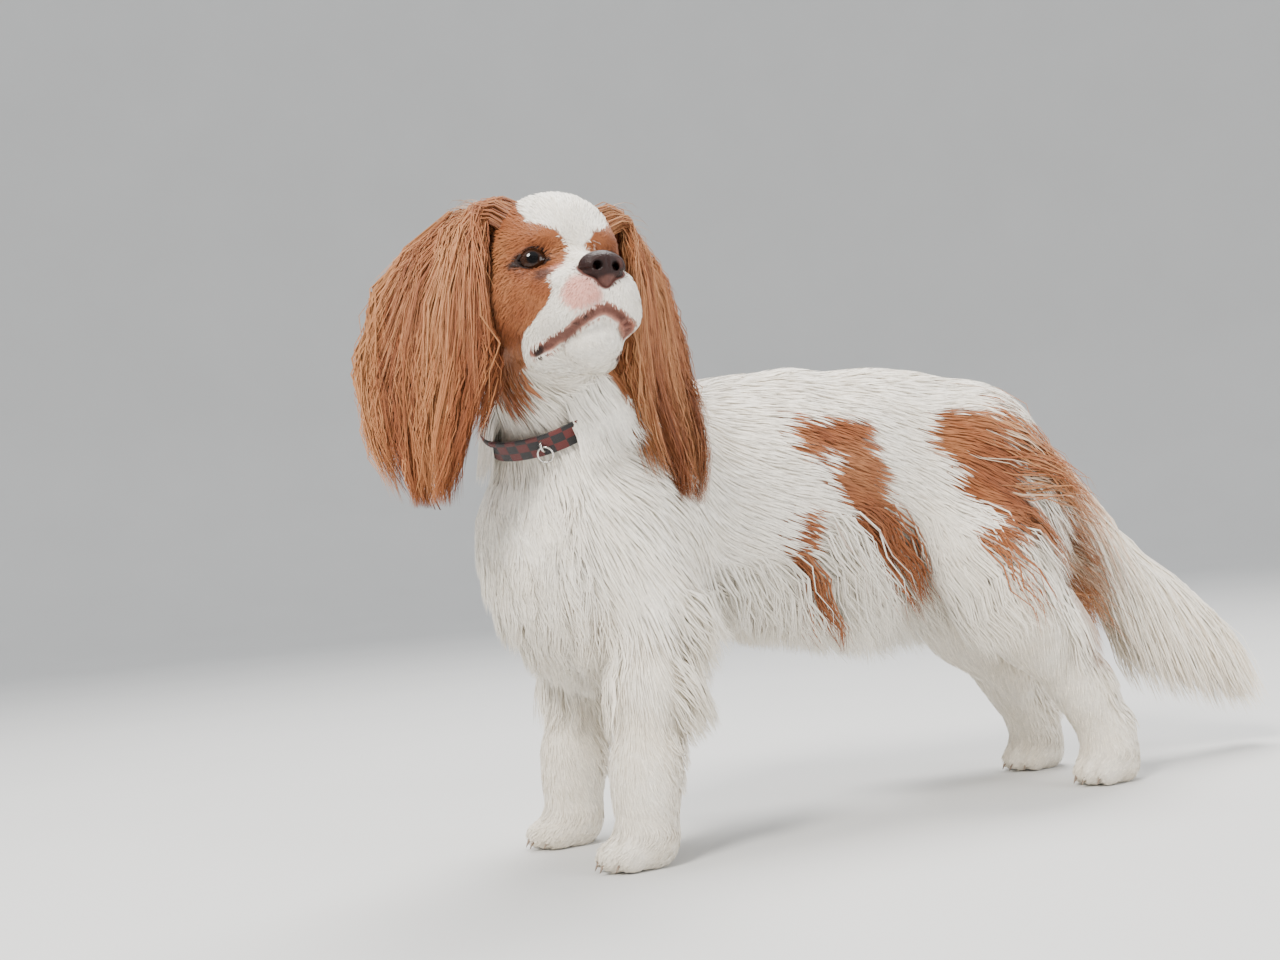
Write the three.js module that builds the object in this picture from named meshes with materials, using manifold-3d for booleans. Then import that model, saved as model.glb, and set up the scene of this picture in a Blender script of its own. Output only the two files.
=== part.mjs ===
// A life-size still model of a cavalier king charles spaniel, standing, with its head turned to its left.
// Millimetres, +Z up. The dog faces -Y, its left side is +X, and its paws stand on Z = 0.
// The body is one smooth field of rounded masses. Each node is a stretch of its surface, cut out by flat faces,
// with the long coat built on it as flat, tapered locks that are rooted well inside it.
import * as THREE from "three";
import { mergeVertices } from "three/addons/utils/BufferGeometryUtils.js";
import Module from "manifold-3d";

const wasm = await Module();
wasm.setup();

// Driving dimensions
const GAP = 0.35; // between nodes that touch
const SHORTEST = { plain: 0.5, ear_left: 0.15 }; // edges that the finished solids keep
const LOCK_EDGE = 2.4; // edge that the joined locks keep
const HEAD_CENTRE = [72, -42, 379];
const HEAD_TURN = { yaw: 91, pitch: 3, roll: -3 }; // degrees: towards its left, up, and tilted
const EYE_RADIUS = 12.5;
const COLLAR = { at: [13, -22, 311], along: [0.34, -0.5, 0.8], width: 14, thick: 2.4 };
const ORIGIN = [42, 201, 0]; // the middle of the model's footprint, where the part's own frame starts

// Small vector helpers
const add = (a, b, s = 1) => [a[0] + b[0] * s, a[1] + b[1] * s, a[2] + b[2] * s];
const sub = (a, b) => [a[0] - b[0], a[1] - b[1], a[2] - b[2]];
const dot = (a, b) => a[0] * b[0] + a[1] * b[1] + a[2] * b[2];
const cross = (a, b) => [a[1] * b[2] - a[2] * b[1], a[2] * b[0] - a[0] * b[2], a[0] * b[1] - a[1] * b[0]];
const unit = (a) => add([0, 0, 0], a, 1 / Math.hypot(...a));
const mix = (a, b, t) => add(a, sub(b, a), t);
const radians = THREE.MathUtils.degToRad;
const DOWN = [0, 0, -1];

// A seeded random number from 0 to 1, so that every run makes the same coat
let seed = 20;
function random() {
  seed = (seed * 1664525 + 1013904223) % 4294967296;
  return seed / 4294967296;
}
const vary = (amount) => 1 + amount * (2 * random() - 1);
const spread = (amount) => amount * (2 * random() - 1);

// Fields: each is a function of a point that is negative inside the shape and grows about a millimetre a millimetre

// An ellipsoid with semi-axes size, turned by degrees about X, Y and Z in turn
function lump(at, size, turn = [0, 0, 0]) {
  const q = new THREE.Quaternion().setFromEuler(new THREE.Euler(...turn.map(radians))).invert();
  const v = new THREE.Vector3();
  return (p) => {
    v.set(p[0] - at[0], p[1] - at[1], p[2] - at[2]).applyQuaternion(q);
    const k0 = Math.hypot(v.x / size[0], v.y / size[1], v.z / size[2]);
    const k1 = Math.hypot(v.x / size[0] ** 2, v.y / size[1] ** 2, v.z / size[2] ** 2);
    return k1 < 1e-9 ? -Math.min(...size) : (k0 * (k0 - 1)) / k1;
  };
}

// A rounded cone from a to b
function limb(a, b, ra, rb) {
  const along = sub(b, a);
  const length2 = dot(along, along);
  return (p) => {
    const t = Math.min(1, Math.max(0, dot(sub(p, a), along) / length2));
    return Math.hypot(...sub(p, add(a, along, t))) - (ra + (rb - ra) * t);
  };
}

// A chain of rounded cones through [point, radius] stations
const chain = (stations) =>
  stations.slice(1).map(([b, rb], i) => limb(stations[i][0], b, stations[i][1], rb));

// The smooth union of shapes, which flow into each other over about k
function fuse(k, ...shapes) {
  return (p) => {
    let d = shapes[0](p);
    for (let i = 1; i < shapes.length; i++) {
      const e = shapes[i](p);
      const h = Math.max(k - Math.abs(d - e), 0) / k;
      d = Math.min(d, e) - (h * h * k) / 4;
    }
    return d;
  };
}

// shape with cut smoothly taken away
function carve(k, shape, ...cuts) {
  return (p) => {
    let d = shape(p);
    for (const cut of cuts) {
      const e = -cut(p);
      const h = Math.max(k - Math.abs(d - e), 0) / k;
      d = Math.max(d, e) + (h * h * k) / 4;
    }
    return d;
  };
}

// The field's outward direction at p
function outward(field, p) {
  const e = 1.5;
  const d = (k) => {
    const a = [...p];
    const b = [...p];
    a[k] += e;
    b[k] -= e;
    return field(a) - field(b);
  };
  return unit([d(0), d(1), d(2)]);
}

// The head's own frame: forward, left and up
const headFrame = (() => {
  const yaw = radians(HEAD_TURN.yaw);
  const pitch = radians(HEAD_TURN.pitch);
  const roll = radians(HEAD_TURN.roll);
  const level = [Math.sin(yaw), -Math.cos(yaw), 0];
  const side = [Math.cos(yaw), Math.sin(yaw), 0];
  const forward = add(add([0, 0, 0], level, Math.cos(pitch)), [0, 0, 1], Math.sin(pitch));
  const crown = add(add([0, 0, 0], [0, 0, 1], Math.cos(pitch)), level, -Math.sin(pitch));
  const left = add(add([0, 0, 0], side, Math.cos(roll)), crown, Math.sin(roll));
  const up = add(add([0, 0, 0], crown, Math.cos(roll)), side, -Math.sin(roll));
  return { forward, left, up };
})();

// A point of the head given as [forward, left, up] from its centre
function onHead([f, l, u]) {
  const { forward, left, up } = headFrame;
  return add(add(add(HEAD_CENTRE, forward, f), left, l), up, u);
}
// The head's coordinates of a point
const inHead = (p) => {
  const d = sub(p, HEAD_CENTRE);
  return [dot(d, headFrame.forward), dot(d, headFrame.left), dot(d, headFrame.up)];
};
const both = (make) => [make(-1), make(1)];

// The head, in its own coordinates: forward, left, up
const EYE = (side) => [26.5, side * 21.5, 0];
const EYE_OPENING = { half: 8.7, above: 6, below: 5.2 };
const LID = 1.5; // thickness of a lid over the eyeball
const NOSE_AT = [86, 0, -17];
const skullShapes = [
  lump([-14, 0, 10], [52, 45, 44]),
  lump([8, 0, 19], [34, 35, 31]),
  ...both((s) => lump([2, s * 26, -18], [36, 18, 32])),
  ...both((s) => lump([29, s * 17, 14], [13, 13, 8])),
  ...both((s) => limb([20, s * 26, -18], [46, s * 20, -24], 15, 12)),
];
const muzzleShapes = [
  limb([28, 0, -8], [78, 0, -19], 18, 10),
  ...both((s) => limb([34, s * 15, -22], [74, s * 11, -28], 15, 13)),
  ...both((s) => limb([34, s * 18, -42], [72, s * 14, -42], 14, 14)),
  ...both((s) => lump([77, s * 9, -36], [12, 12, 14])),
];
const jawShapes = [
  limb([-8, 0, -42], [58, 0, -56], 26, 15),
  lump([66, 0, -58], [16, 17, 13.5]),
  ...both((s) => lump([28, s * 18, -50], [22, 13, 18])),
];
const eyeHollows = both((s) => lump([41, s * 28, 0], [8, 8, 6], [0, 0, -s * 25]));
const lidDomes = both((s) => lump(EYE(s), [EYE_RADIUS + LID, EYE_RADIUS + LID, EYE_RADIUS + LID]));
const faceLocal = fuse(4, fuse(12, fuse(12, ...skullShapes), fuse(9, ...muzzleShapes)), fuse(8, ...jawShapes));
const headLocal = fuse(3, carve(5, faceLocal, ...eyeHollows), ...lidDomes);
// The line of the mouth, from its left corner to the middle of the upper lip
const MOUTH = [
  [34.5, 28.5, -58],
  [46, 23.8, -57],
  [57, 20, -55],
  [71, 18.6, -54],
  [81.5, 15.6, -51],
  [86.5, 9, -46.5],
  [87.5, 0, -43],
];
const headField = (p) => headLocal(inHead(p));

// The neck, from the shoulders to behind the jaw
const neckField = fuse(
  24,
  ...chain([
    [[0, 22, 250], 68],
    [[6, -12, 297], 53],
    [[33, -33, 336], 44],
    [[58, -41, 366], 42],
  ]),
);

// The trunk
const trunkShapes = [
  lump([0, 0, 216], [65, 86, 82]),
  lump([0, 116, 237], [69, 120, 82]),
  lump([0, 222, 263], [56, 86, 62]),
  lump([0, 300, 257], [59, 66, 60]),
  limb([0, 40, 286], [0, 150, 300], 28, 24),
  limb([0, 160, 295], [0, 255, 294], 24, 22),
  ...both((s) => lump([s * 40, 2, 228], [25, 42, 60], [12, 0, 0])),
];

// A foreleg. side is 1 for the left; ahead moves the foot forward
function foreleg(side, ahead) {
  const x = (across) => side * across;
  return {
    shapes: chain([
      [[x(38), 6, 226], 32],
      [[x(47), 17 - ahead, 166], 28],
      [[x(52), 7 - ahead, 112], 23.5],
      [[x(53), -1 - ahead, 62], 20],
      [[x(54), -4 - ahead, 26], 17.5],
    ]),
    paw: [x(54), -6 - ahead, 0],
  };
}
// A hind leg, stretched back
function hindleg(side, back) {
  const x = (across) => side * across;
  return {
    shapes: [
      lump([x(36), 292, 222], [31, 64, 62], [-18, 0, 0]),
      ...chain([
        [[x(44), 282, 182], 42],
        [[x(46), 318 + back / 2, 124], 30],
        [[x(47), 356 + back, 74], 19.5],
        [[x(47), 372 + back, 30], 17],
      ]),
    ],
    paw: [x(47), 377 + back, 0],
  };
}
const LEGS = {
  foreleg_left: foreleg(1, 0),
  foreleg_right: foreleg(-1, 13),
  hindleg_left: hindleg(1, 0),
  hindleg_right: hindleg(-1, 6),
};

// A paw: a pad with four toes. at is the point on the floor below the pastern
const TOES = [-12, -4.5, 4.5, 12];
function pawField(at) {
  const [x, y] = at;
  const toes = TOES.map((across, i) => {
    const middle = i === 1 || i === 2;
    return lump([x + across, y - (middle ? 21 : 14), 10], [6.6, middle ? 13 : 12, 10.5]);
  });
  return fuse(4, fuse(10, lump([x, y - 3, 13], [17.5, 20, 15]), limb([x, y + 4, 14], [x, y + 2, 40], 15, 17)), ...toes);
}

// The tail's core, which the plume hangs from
const TAIL = [
  [[0, 338, 276], 21],
  [[0, 372, 247], 17],
  [[0, 410, 200], 13],
  [[0, 452, 165], 10],
  [[0, 500, 134], 6],
];
const tailField = fuse(8, ...chain(TAIL));

const pawFields = Object.values(LEGS).map((leg) => pawField(leg.paw));
const legFields = Object.values(LEGS).map((leg) => fuse(20, ...leg.shapes));
const trunkField = fuse(26, ...trunkShapes, ...legFields);
const bodyField = fuse(16, fuse(30, trunkField, neckField), tailField, ...pawFields);
const wholeField = fuse(14, bodyField, headField);

// Solids

// Grid positions from [position, step] to [position, step] stations, the step changing evenly between them
function ticks(...stations) {
  const out = [stations[0][0]];
  for (let i = 1; i < stations.length; i++) {
    const [a, first] = stations[i - 1];
    const [b, last] = stations[i];
    const n = Math.max(1, Math.round(((b - a) * 2) / (first + last)));
    for (let k = 1; k <= n; k++) {
      const t = k / n;
      out.push(a + ((b - a) * (t * 2 * first + t * t * (last - first))) / (first + last));
    }
  }
  return out;
}
const even = (low, high, step) => low.map((l, k) => ticks([l, step[k]], [high[k], step[k]]));

// The field's value at every grid point. Blocks of the grid that lie well clear of the surface take one value
function sample(field, [xs, ys, zs]) {
  const [nx, ny, nz] = [xs.length, ys.length, zs.length];
  const value = new Float32Array(nx * ny * nz).fill(1);
  const STEP = 4;
  const last = (i, n) => Math.min(i + STEP, n - 1);
  for (let k = 1; k < nz - 1; k += STEP)
    for (let j = 1; j < ny - 1; j += STEP)
      for (let i = 1; i < nx - 1; i += STEP) {
        const [i1, j1, k1] = [last(i, nx), last(j, ny), last(k, nz)];
        const low = [xs[i], ys[j], zs[k]];
        const high = [xs[i1 - 1], ys[j1 - 1], zs[k1 - 1]];
        const middle = field(mix(low, high, 0.5));
        const far = Math.abs(middle) > 0.9 * Math.hypot(...sub(high, low)) + 6;
        for (let c = k; c < k1; c++)
          for (let b = j; b < j1; b++)
            for (let a = i; a < i1; a++)
              value[(c * ny + b) * nx + a] = far ? Math.sign(middle) : field([xs[a], ys[b], zs[c]]);
      }
  return value;
}

// The closed surface of a field inside a grid, with one vertex in each crossed cell
function surface(field, grid) {
  const [xs, ys, zs] = grid;
  const [nx, ny, nz] = [xs.length, ys.length, zs.length];
  const at = (i, j, k) => (k * ny + j) * nx + i;
  const between = (list, i, t) => list[i] + (list[i + 1] - list[i]) * t;
  const value = sample(field, grid);
  const corners = [0, 1, 2, 3, 4, 5, 6, 7].map((c) => [c & 1, (c >> 1) & 1, (c >> 2) & 1]);
  const edges = [];
  for (let a = 0; a < 8; a++) for (let b = a + 1; b < 8; b++) if ([1, 2, 4].includes(a ^ b)) edges.push([a, b]);
  const vertexOf = new Int32Array(nx * ny * nz).fill(-1);
  const points = [];
  for (let k = 0; k < nz - 1; k++)
    for (let j = 0; j < ny - 1; j++)
      for (let i = 0; i < nx - 1; i++) {
        const v = corners.map(([a, b, c]) => value[at(i + a, j + b, k + c)]);
        const inside = v.filter((x) => x < 0).length;
        if (inside === 0 || inside === 8) continue;
        let sum = [0, 0, 0];
        let n = 0;
        for (const [a, b] of edges) {
          if (v[a] < 0 === v[b] < 0) continue;
          sum = add(sum, mix(corners[a], corners[b], v[a] / (v[a] - v[b])));
          n++;
        }
        vertexOf[at(i, j, k)] = points.length / 3;
        points.push(between(xs, i, sum[0] / n), between(ys, j, sum[1] / n), between(zs, k, sum[2] / n));
      }
  const index = [];
  const steps = [[1, 0, 0], [0, 1, 0], [0, 0, 1]];
  for (let k = 0; k < nz - 1; k++)
    for (let j = 0; j < ny - 1; j++)
      for (let i = 0; i < nx - 1; i++)
        for (let axis = 0; axis < 3; axis++) {
          const [s, u, w] = [steps[axis], steps[(axis + 1) % 3], steps[(axis + 2) % 3]];
          const a = value[at(i, j, k)] < 0;
          const b = value[at(i + s[0], j + s[1], k + s[2])] < 0;
          if (a === b) continue;
          const cellAt = (p, q) =>
            vertexOf[at(i - p * u[0] - q * w[0], j - p * u[1] - q * w[1], k - p * u[2] - q * w[2])];
          const quad = [cellAt(0, 0), cellAt(1, 0), cellAt(1, 1), cellAt(0, 1)];
          if (!a) quad.reverse();
          index.push(quad[0], quad[1], quad[2], quad[0], quad[2], quad[3]);
        }
  const geometry = new THREE.BufferGeometry();
  geometry.setAttribute("position", new THREE.Float32BufferAttribute(points, 3));
  geometry.setIndex(index);
  return geometry;
}

// A three.js geometry as a solid
function solid(geometry) {
  const bare = geometry.index ? geometry.toNonIndexed() : geometry.clone();
  bare.deleteAttribute("normal");
  bare.deleteAttribute("uv");
  const merged = mergeVertices(bare, 1e-3);
  const vertProperties = new Float32Array(merged.attributes.position.array);
  const triVerts = new Uint32Array(merged.index.array);
  return new wasm.Manifold(new wasm.Mesh({ numProp: 3, vertProperties, triVerts }));
}

// The largest closed piece of a solid
function largest(made) {
  return made.decompose().reduce((a, b) => (a.volume() > b.volume() ? a : b));
}

// A solid with each edge under shortest drawn in to one end, where that neither folds nor pinches its surface
function weld(made, shortest) {
  const mesh = made.getMesh();
  const at = Array.from({ length: mesh.numVert }, (_, v) => Array.from(mesh.vertProperties.slice(v * 3, v * 3 + 3)));
  const faces = Array.from({ length: mesh.numTri }, (_, t) => Array.from(mesh.triVerts.slice(t * 3, t * 3 + 3)));
  const around = at.map(() => new Set());
  faces.forEach((face, t) => face.forEach((v) => around[v].add(t)));
  const linked = (v) => new Set([...around[v]].flatMap((t) => faces[t]));
  const normal = ([a, b, c]) => cross(sub(at[b], at[a]), sub(at[c], at[a]));
  const folds = (t, from, to) => {
    if (faces[t].includes(to)) return false;
    const old = normal(faces[t]);
    const now = normal(faces[t].map((v) => (v === from ? to : v)));
    const size = Math.hypot(...old) * Math.hypot(...now);
    return Math.hypot(...now) < 1e-4 || (Math.hypot(...old) > 1e-4 && dot(old, now) < 0.8 * size);
  };
  const drawIn = (from, to) => {
    if (Math.hypot(...sub(at[from], at[to])) >= shortest) return false;
    const other = linked(to);
    if ([...linked(from)].filter((v) => other.has(v)).length !== 4) return false;
    if ([...around[from]].some((t) => folds(t, from, to))) return false;
    for (const t of [...around[from]]) {
      if (faces[t].includes(to)) {
        faces[t].forEach((v) => around[v].delete(t));
        faces[t] = null;
      } else {
        faces[t] = faces[t].map((v) => (v === from ? to : v));
        around[to].add(t);
      }
    }
    around[from].clear();
    return true;
  };
  for (let pass = 0; pass < 3; pass++)
    for (let t = 0; t < faces.length; t++)
      for (let k = 0; k < 3 && faces[t]; k++) {
        const [a, b] = [faces[t][k], faces[t][(k + 1) % 3]];
        if (!drawIn(a, b)) drawIn(b, a);
      }
  // Where two folds touch at a point, each is drawn back a little into its own side
  const places = new Map();
  at.forEach((p, v) => {
    const key = p.map((x) => Math.round(x * 100)).join();
    if (around[v].size > 0) places.set(key, [...(places.get(key) ?? []), v]);
  });
  for (const shared of [...places.values()].filter((list) => list.length > 1))
    for (const v of shared) {
      const near = [...linked(v)];
      const centre = near.reduce((sum, w) => add(sum, at[w], 1 / near.length), [0, 0, 0]);
      at[v] = add(at[v], unit(sub(centre, at[v])), 0.04);
    }
  const geometry = new THREE.BufferGeometry();
  geometry.setAttribute("position", new THREE.Float32BufferAttribute(at.flat(), 3));
  geometry.setIndex(faces.filter((face) => face).flat());
  return solid(geometry);
}

// A solid grown by about gap on every side, to cut clear of it
function thickened(made, gap) {
  const ways = [[1, 0, 0], [-1, 0, 0], [0, 1, 0], [0, -1, 0], [0, 0, 1], [0, 0, -1]];
  return ways.map((w) => made.translate(...add([0, 0, 0], w, gap))).reduce((a, b) => a.add(b), made);
}

// made cut clear of other, where their boxes meet
function clearOf(made, other) {
  const a = made.boundingBox();
  const b = other.boundingBox();
  const apart = [0, 1, 2].some((k) => a.min[k] > b.max[k] + GAP || b.min[k] > a.max[k] + GAP);
  if (apart) return made;
  const near = other.intersect(block(add(a.min, [-1, -1, -1]), add(a.max, [1, 1, 1])));
  return near.isEmpty() ? made : made.subtract(thickened(near, GAP));
}

// A block with corners low and high
const block = (low, high) => solid(new THREE.BoxGeometry(...sub(high, low)).translate(...mix(low, high, 0.5)));

// A solid through rings of points. A last ring of one point is a tip. A closed one runs on into its first ring
function loft(rings, closed = false) {
  const starts = [];
  const position = [];
  for (const ring of rings) {
    starts.push(position.length / 3);
    position.push(...ring.flat());
  }
  const index = [];
  const spans = closed ? rings.length : rings.length - 1;
  for (let i = 0; i < spans; i++) {
    const next = (i + 1) % rings.length;
    const n = rings[i].length;
    for (let s = 0; s < n; s++) {
      const t = (s + 1) % n;
      const [a, b] = [starts[i] + s, starts[i] + t];
      if (rings[next].length === 1) index.push(a, b, starts[next]);
      else index.push(a, b, starts[next] + t, a, starts[next] + t, starts[next] + s);
    }
  }
  const ends = closed ? [] : [rings.length - 1, 0];
  for (const [i, end] of ends.entries())
    for (let s = 1; s < rings[end].length - 1; s++)
      index.push(starts[end], starts[end] + s + i, starts[end] + s + 1 - i);
  const geometry = new THREE.BufferGeometry();
  geometry.setAttribute("position", new THREE.Float32BufferAttribute(position, 3));
  geometry.setIndex(index);
  const made = solid(geometry);
  return made.volume() > 0 ? made : solid(geometry.setIndex(index.reverse()));
}

// Locks

// A flat, tapered lock of some sections along points. facing(p) is the way that its flat side looks
const LOCK_SECTION = [[1, 0], [0, 1], [-1, 0], [0, -1]];
function lock(points, width, thick, facing, rings = 4) {
  const curve = new THREE.CatmullRomCurve3(points.map((p) => new THREE.Vector3(...p)));
  const sections = [];
  for (let i = 0; i < rings; i++) {
    const t = i / rings;
    const p = curve.getPointAt(t).toArray();
    const along = curve.getTangentAt(t).toArray();
    const across = unit(cross(along, facing(p)));
    const out = cross(across, along);
    const w = (width / 2) * (0.4 + 0.62 * Math.sin(Math.PI * Math.min(1, t * 1.2)));
    const h = (thick / 2) * (0.6 + 0.5 * Math.sin(Math.PI * Math.min(1, t * 1.3)));
    sections.push(LOCK_SECTION.map(([a, b]) => add(add(p, across, a * w), out, b * h)));
  }
  return loft([...sections, [curve.getPointAt(1).toArray()]]);
}

// How a lock falls: from root it sets off along lie and bends to pull at each step, kept clear of field
function fall(root, lie, pull, length, bend, field, clear, steps = 5) {
  const points = [root];
  let way = unit(lie);
  let p = root;
  for (let i = 0; i < steps; i++) {
    way = unit(mix(way, pull, bend));
    p = add(p, way, length / steps);
    p = pushed(p, field, i > 0 ? clear : -99);
    points.push(p);
  }
  return points;
}

// p moved out along the field until it is clear of the surface
function pushed(p, field, clear) {
  const d = field(p);
  return d < clear ? add(p, outward(field, p), clear - d) : p;
}

// The nearest point of a field's surface to p, moved in by depth
function rooted(field, p, depth) {
  let q = p;
  for (let i = 0; i < 6; i++) q = add(q, outward(field, q), -field(q));
  return add(q, outward(field, q), -depth);
}

// A point at t of the way along a list of stations, each an array of numbers
function along(stations, t) {
  const u = Math.min(0.9999, Math.max(0, t)) * (stations.length - 1);
  const i = Math.floor(u);
  return stations[i].map((v, k) => v + (stations[i + 1][k] - v) * (u - i));
}

// Nodes: the smooth bodies come first, and the locks are then joined to them, cut clear of all other nodes

const MATERIALS = {
  white: { color: 0xe9e2d6, roughness: 0.85 },
  chestnut: { color: 0x9a4f2a, roughness: 0.8 },
  leather: { color: 0x3a2a2c, roughness: 0.45 },
  eye: { color: 0x1a0f0a, roughness: 0.08 },
  strap: { color: 0x4a1418, roughness: 0.7 },
  metal: { color: 0xc8c4ba, roughness: 0.25, metalness: 1 },
};
const nodes = {};
function node(name, material, made) {
  nodes[name] = { material, made: largest(made) };
}

// Joins locks to a node, after they are cut clear of the nodes that they would touch
function coat(name, locks) {
  let hair = weld(locks.reduce((a, b) => a.add(b)), LOCK_EDGE);
  for (const [other, { made }] of Object.entries(nodes)) if (other !== name) hair = clearOf(hair, made);
  nodes[name].made = largest(nodes[name].made.add(hair));
}

// Where the neck leaves the trunk and where the head leaves the neck: a point on the cut and the way up the neck
const NECK_CUT = { at: [0, -2, 276], along: unit([0.06, -0.5, 0.86]) };
const HEAD_CUT = { at: [44, -36, 352], along: unit([0.72, -0.16, 0.62]) };
const beyond = (made, cut) => made.trimByPlane(cut.along, dot(cut.at, cut.along) + GAP / 2);
const before = (made, cut) => made.trimByPlane(add([0, 0, 0], cut.along, -1), -dot(cut.at, cut.along) + GAP / 2);

// Blocks that part each leg from the trunk and each paw from its leg
const LEG_BLOCKS = {
  foreleg_left: [[33, -75, -5], [110, 80, 182]],
  foreleg_right: [[-110, -88, -5], [-33, 70, 182]],
  hindleg_left: [[20, 195, -5], [110, 440, 226]],
  hindleg_right: [[-110, 195, -5], [-20, 446, 226]],
};
const PAW_TOP = 34;

// The stretch of the body that is the tail: a cylinder about its axis, grown by extra
const TAIL_WAY = unit([0, 0.66, -0.75]);
function tailStretch(extra) {
  const turn = new THREE.Quaternion().setFromUnitVectors(new THREE.Vector3(0, 1, 0), new THREE.Vector3(...TAIL_WAY));
  const length = 260;
  const start = add([0, 356, 266], TAIL_WAY, length / 2 - extra);
  return solid(new THREE.CylinderGeometry(29 + extra, 29 + extra, length, 20).applyQuaternion(turn).translate(...start));
}

// A closed ring of section swept round points that lie about centre. section(i) gives [out, side] pairs
function band(points, sideAt, outAt, section) {
  const rings = points.map((p, i) => section(i).map(([o, s]) => add(add(p, outAt(i), o), sideAt(i), s)));
  return loft(rings, true);
}

// The head, worked in its own coordinates and then set in place
function makeHead() {
  const { forward, left, up } = headFrame;
  const frame = new THREE.Matrix4().makeBasis(...[forward, left, up].map((v) => new THREE.Vector3(...v)));
  frame.setPosition(...HEAD_CENTRE);
  const place = (made) => made.transform(frame.toArray());
  const joined = fuse(14, headLocal, (q) => bodyField(onHead(q)));
  const grid = [
    ticks([-84, 18], [-10, 14], [25, 8.5], [60, 6.5], [94, 5.5], [100, 5.5]),
    ticks([-66, 14], [-30, 8.5], [0, 7], [30, 8.5], [66, 14]),
    ticks([-86, 13], [-60, 8], [-40, 6], [0, 7], [20, 10], [72, 14]),
  ];
  let skull = solid(surface(joined, grid));

  // lids: a dome over each eyeball, opened in the shape of an almond with a thicker rim
  for (const side of [-1, 1]) {
    const eye = EYE(side);
    const gaze = unit([1, side * 0.42, 0.05]);
    const across = unit(cross([0, 0, 1], gaze));
    const upwards = cross(gaze, across);
    const RIM = 16;
    const almond = (i, grow) => {
      const a = (i / RIM) * 2 * Math.PI;
      const tall = Math.sin(a) > 0 ? EYE_OPENING.above : EYE_OPENING.below;
      const x = Math.cos(a) * (EYE_OPENING.half + grow);
      const y = Math.sin(a) * (tall + grow);
      return add(add(add([0, 0, 0], gaze, Math.sqrt(EYE_RADIUS ** 2 - x * x - y * y)), across, x), upwards, y);
    };
    const points = Array.from({ length: RIM }, (_, i) => add(eye, unit(almond(i, 0.8)), EYE_RADIUS + 0.5));
    const outAt = (i) => unit(sub(points[i], eye));
    const sideAt = (i) => unit(cross(outAt(i), sub(points[(i + 1) % RIM], points[(i + RIM - 1) % RIM])));
    const lid = band(points, sideAt, outAt, () => [[1.6, 0], [0.9, -1.2], [-1.2, -1.4], [-1.2, 1.6], [0.6, 2]]);
    skull = skull.add(lid);
    const opening = [0.5, 1.6].map((far) => Array.from({ length: RIM }, (_, i) => add(eye, almond(i, -0.4), far)));
    skull = skull.subtract(loft(opening));
    skull = skull.subtract(solid(new THREE.IcosahedronGeometry(EYE_RADIUS + GAP, 2).translate(...eye)));
    const ball = solid(new THREE.IcosahedronGeometry(EYE_RADIUS, 2).translate(...eye));
    node(side > 0 ? "eye_left" : "eye_right", "eye", place(ball));
  }

  // the line of the mouth, from corner to corner under the lips, and the groove below the nose
  const line = [...MOUTH, ...MOUTH.slice(0, -1).reverse().map(([f, l, u]) => [f, -l, u])];
  const mouth = new THREE.CatmullRomCurve3(line.map((p) => new THREE.Vector3(...p)));
  const slit = [];
  const SLIT = 18;
  for (let i = 0; i <= SLIT; i++) {
    const p = mouth.getPointAt(i / SLIT).toArray();
    const out = unit([p[0] - 40, p[1], 0]);
    slit.push([[5, 0], [0, 1], [-5, 0], [0, -1]].map(([o, u]) => add(add(p, out, o), [0, 0, 1], u * 1.1)));
  }
  skull = skull.subtract(loft(slit));
  const groove = [[95, -27], [90, -39]].map(([f, u]) => [[f + 5, 0, u], [f, 1, u], [f - 4, 0, u], [f, -1, u]]);
  skull = skull.subtract(loft(groove));

  // nose leather, with its nostrils
  const noseField = carve(
    1.5,
    fuse(
      4,
      lump(NOSE_AT, [8.5, 11, 8.5]),
      ...both((s) => lump([83.5, s * 7.5, -18], [8, 6.5, 7])),
      lump([86, 0, -25], [5.5, 4.5, 6]),
    ),
    ...both((s) => limb([99, s * 4.8, -19.5], [84, s * 6.8, -18.5], 3, 1.7)),
    ...both((s) => limb([92, s * 9, -20.5], [80, s * 16, -19], 1.3, 0.9)),
  );
  const noseGrid = [ticks([72, 6], [88, 3.4], [99, 3.2]), ticks([-18, 3.6], [0, 3.4], [18, 3.6]), ticks([-35, 4], [0, 3.6])];
  const nose = largest(solid(surface(noseField, noseGrid)).trimByPlane([1, 0, 0], 76));
  skull = clearOf(skull, nose);
  node("nose", "leather", place(nose));
  node("head", "chestnut", beyond(place(skull), HEAD_CUT));
}
makeHead();

// Neck
const neckGrid = even([-76, -110, 208], [112, 110, 420], [19, 19, 19]);
const neck = before(solid(surface(fuse(14, bodyField, headField), neckGrid)), HEAD_CUT);
node("neck", "white", beyond(neck, NECK_CUT));

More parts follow.
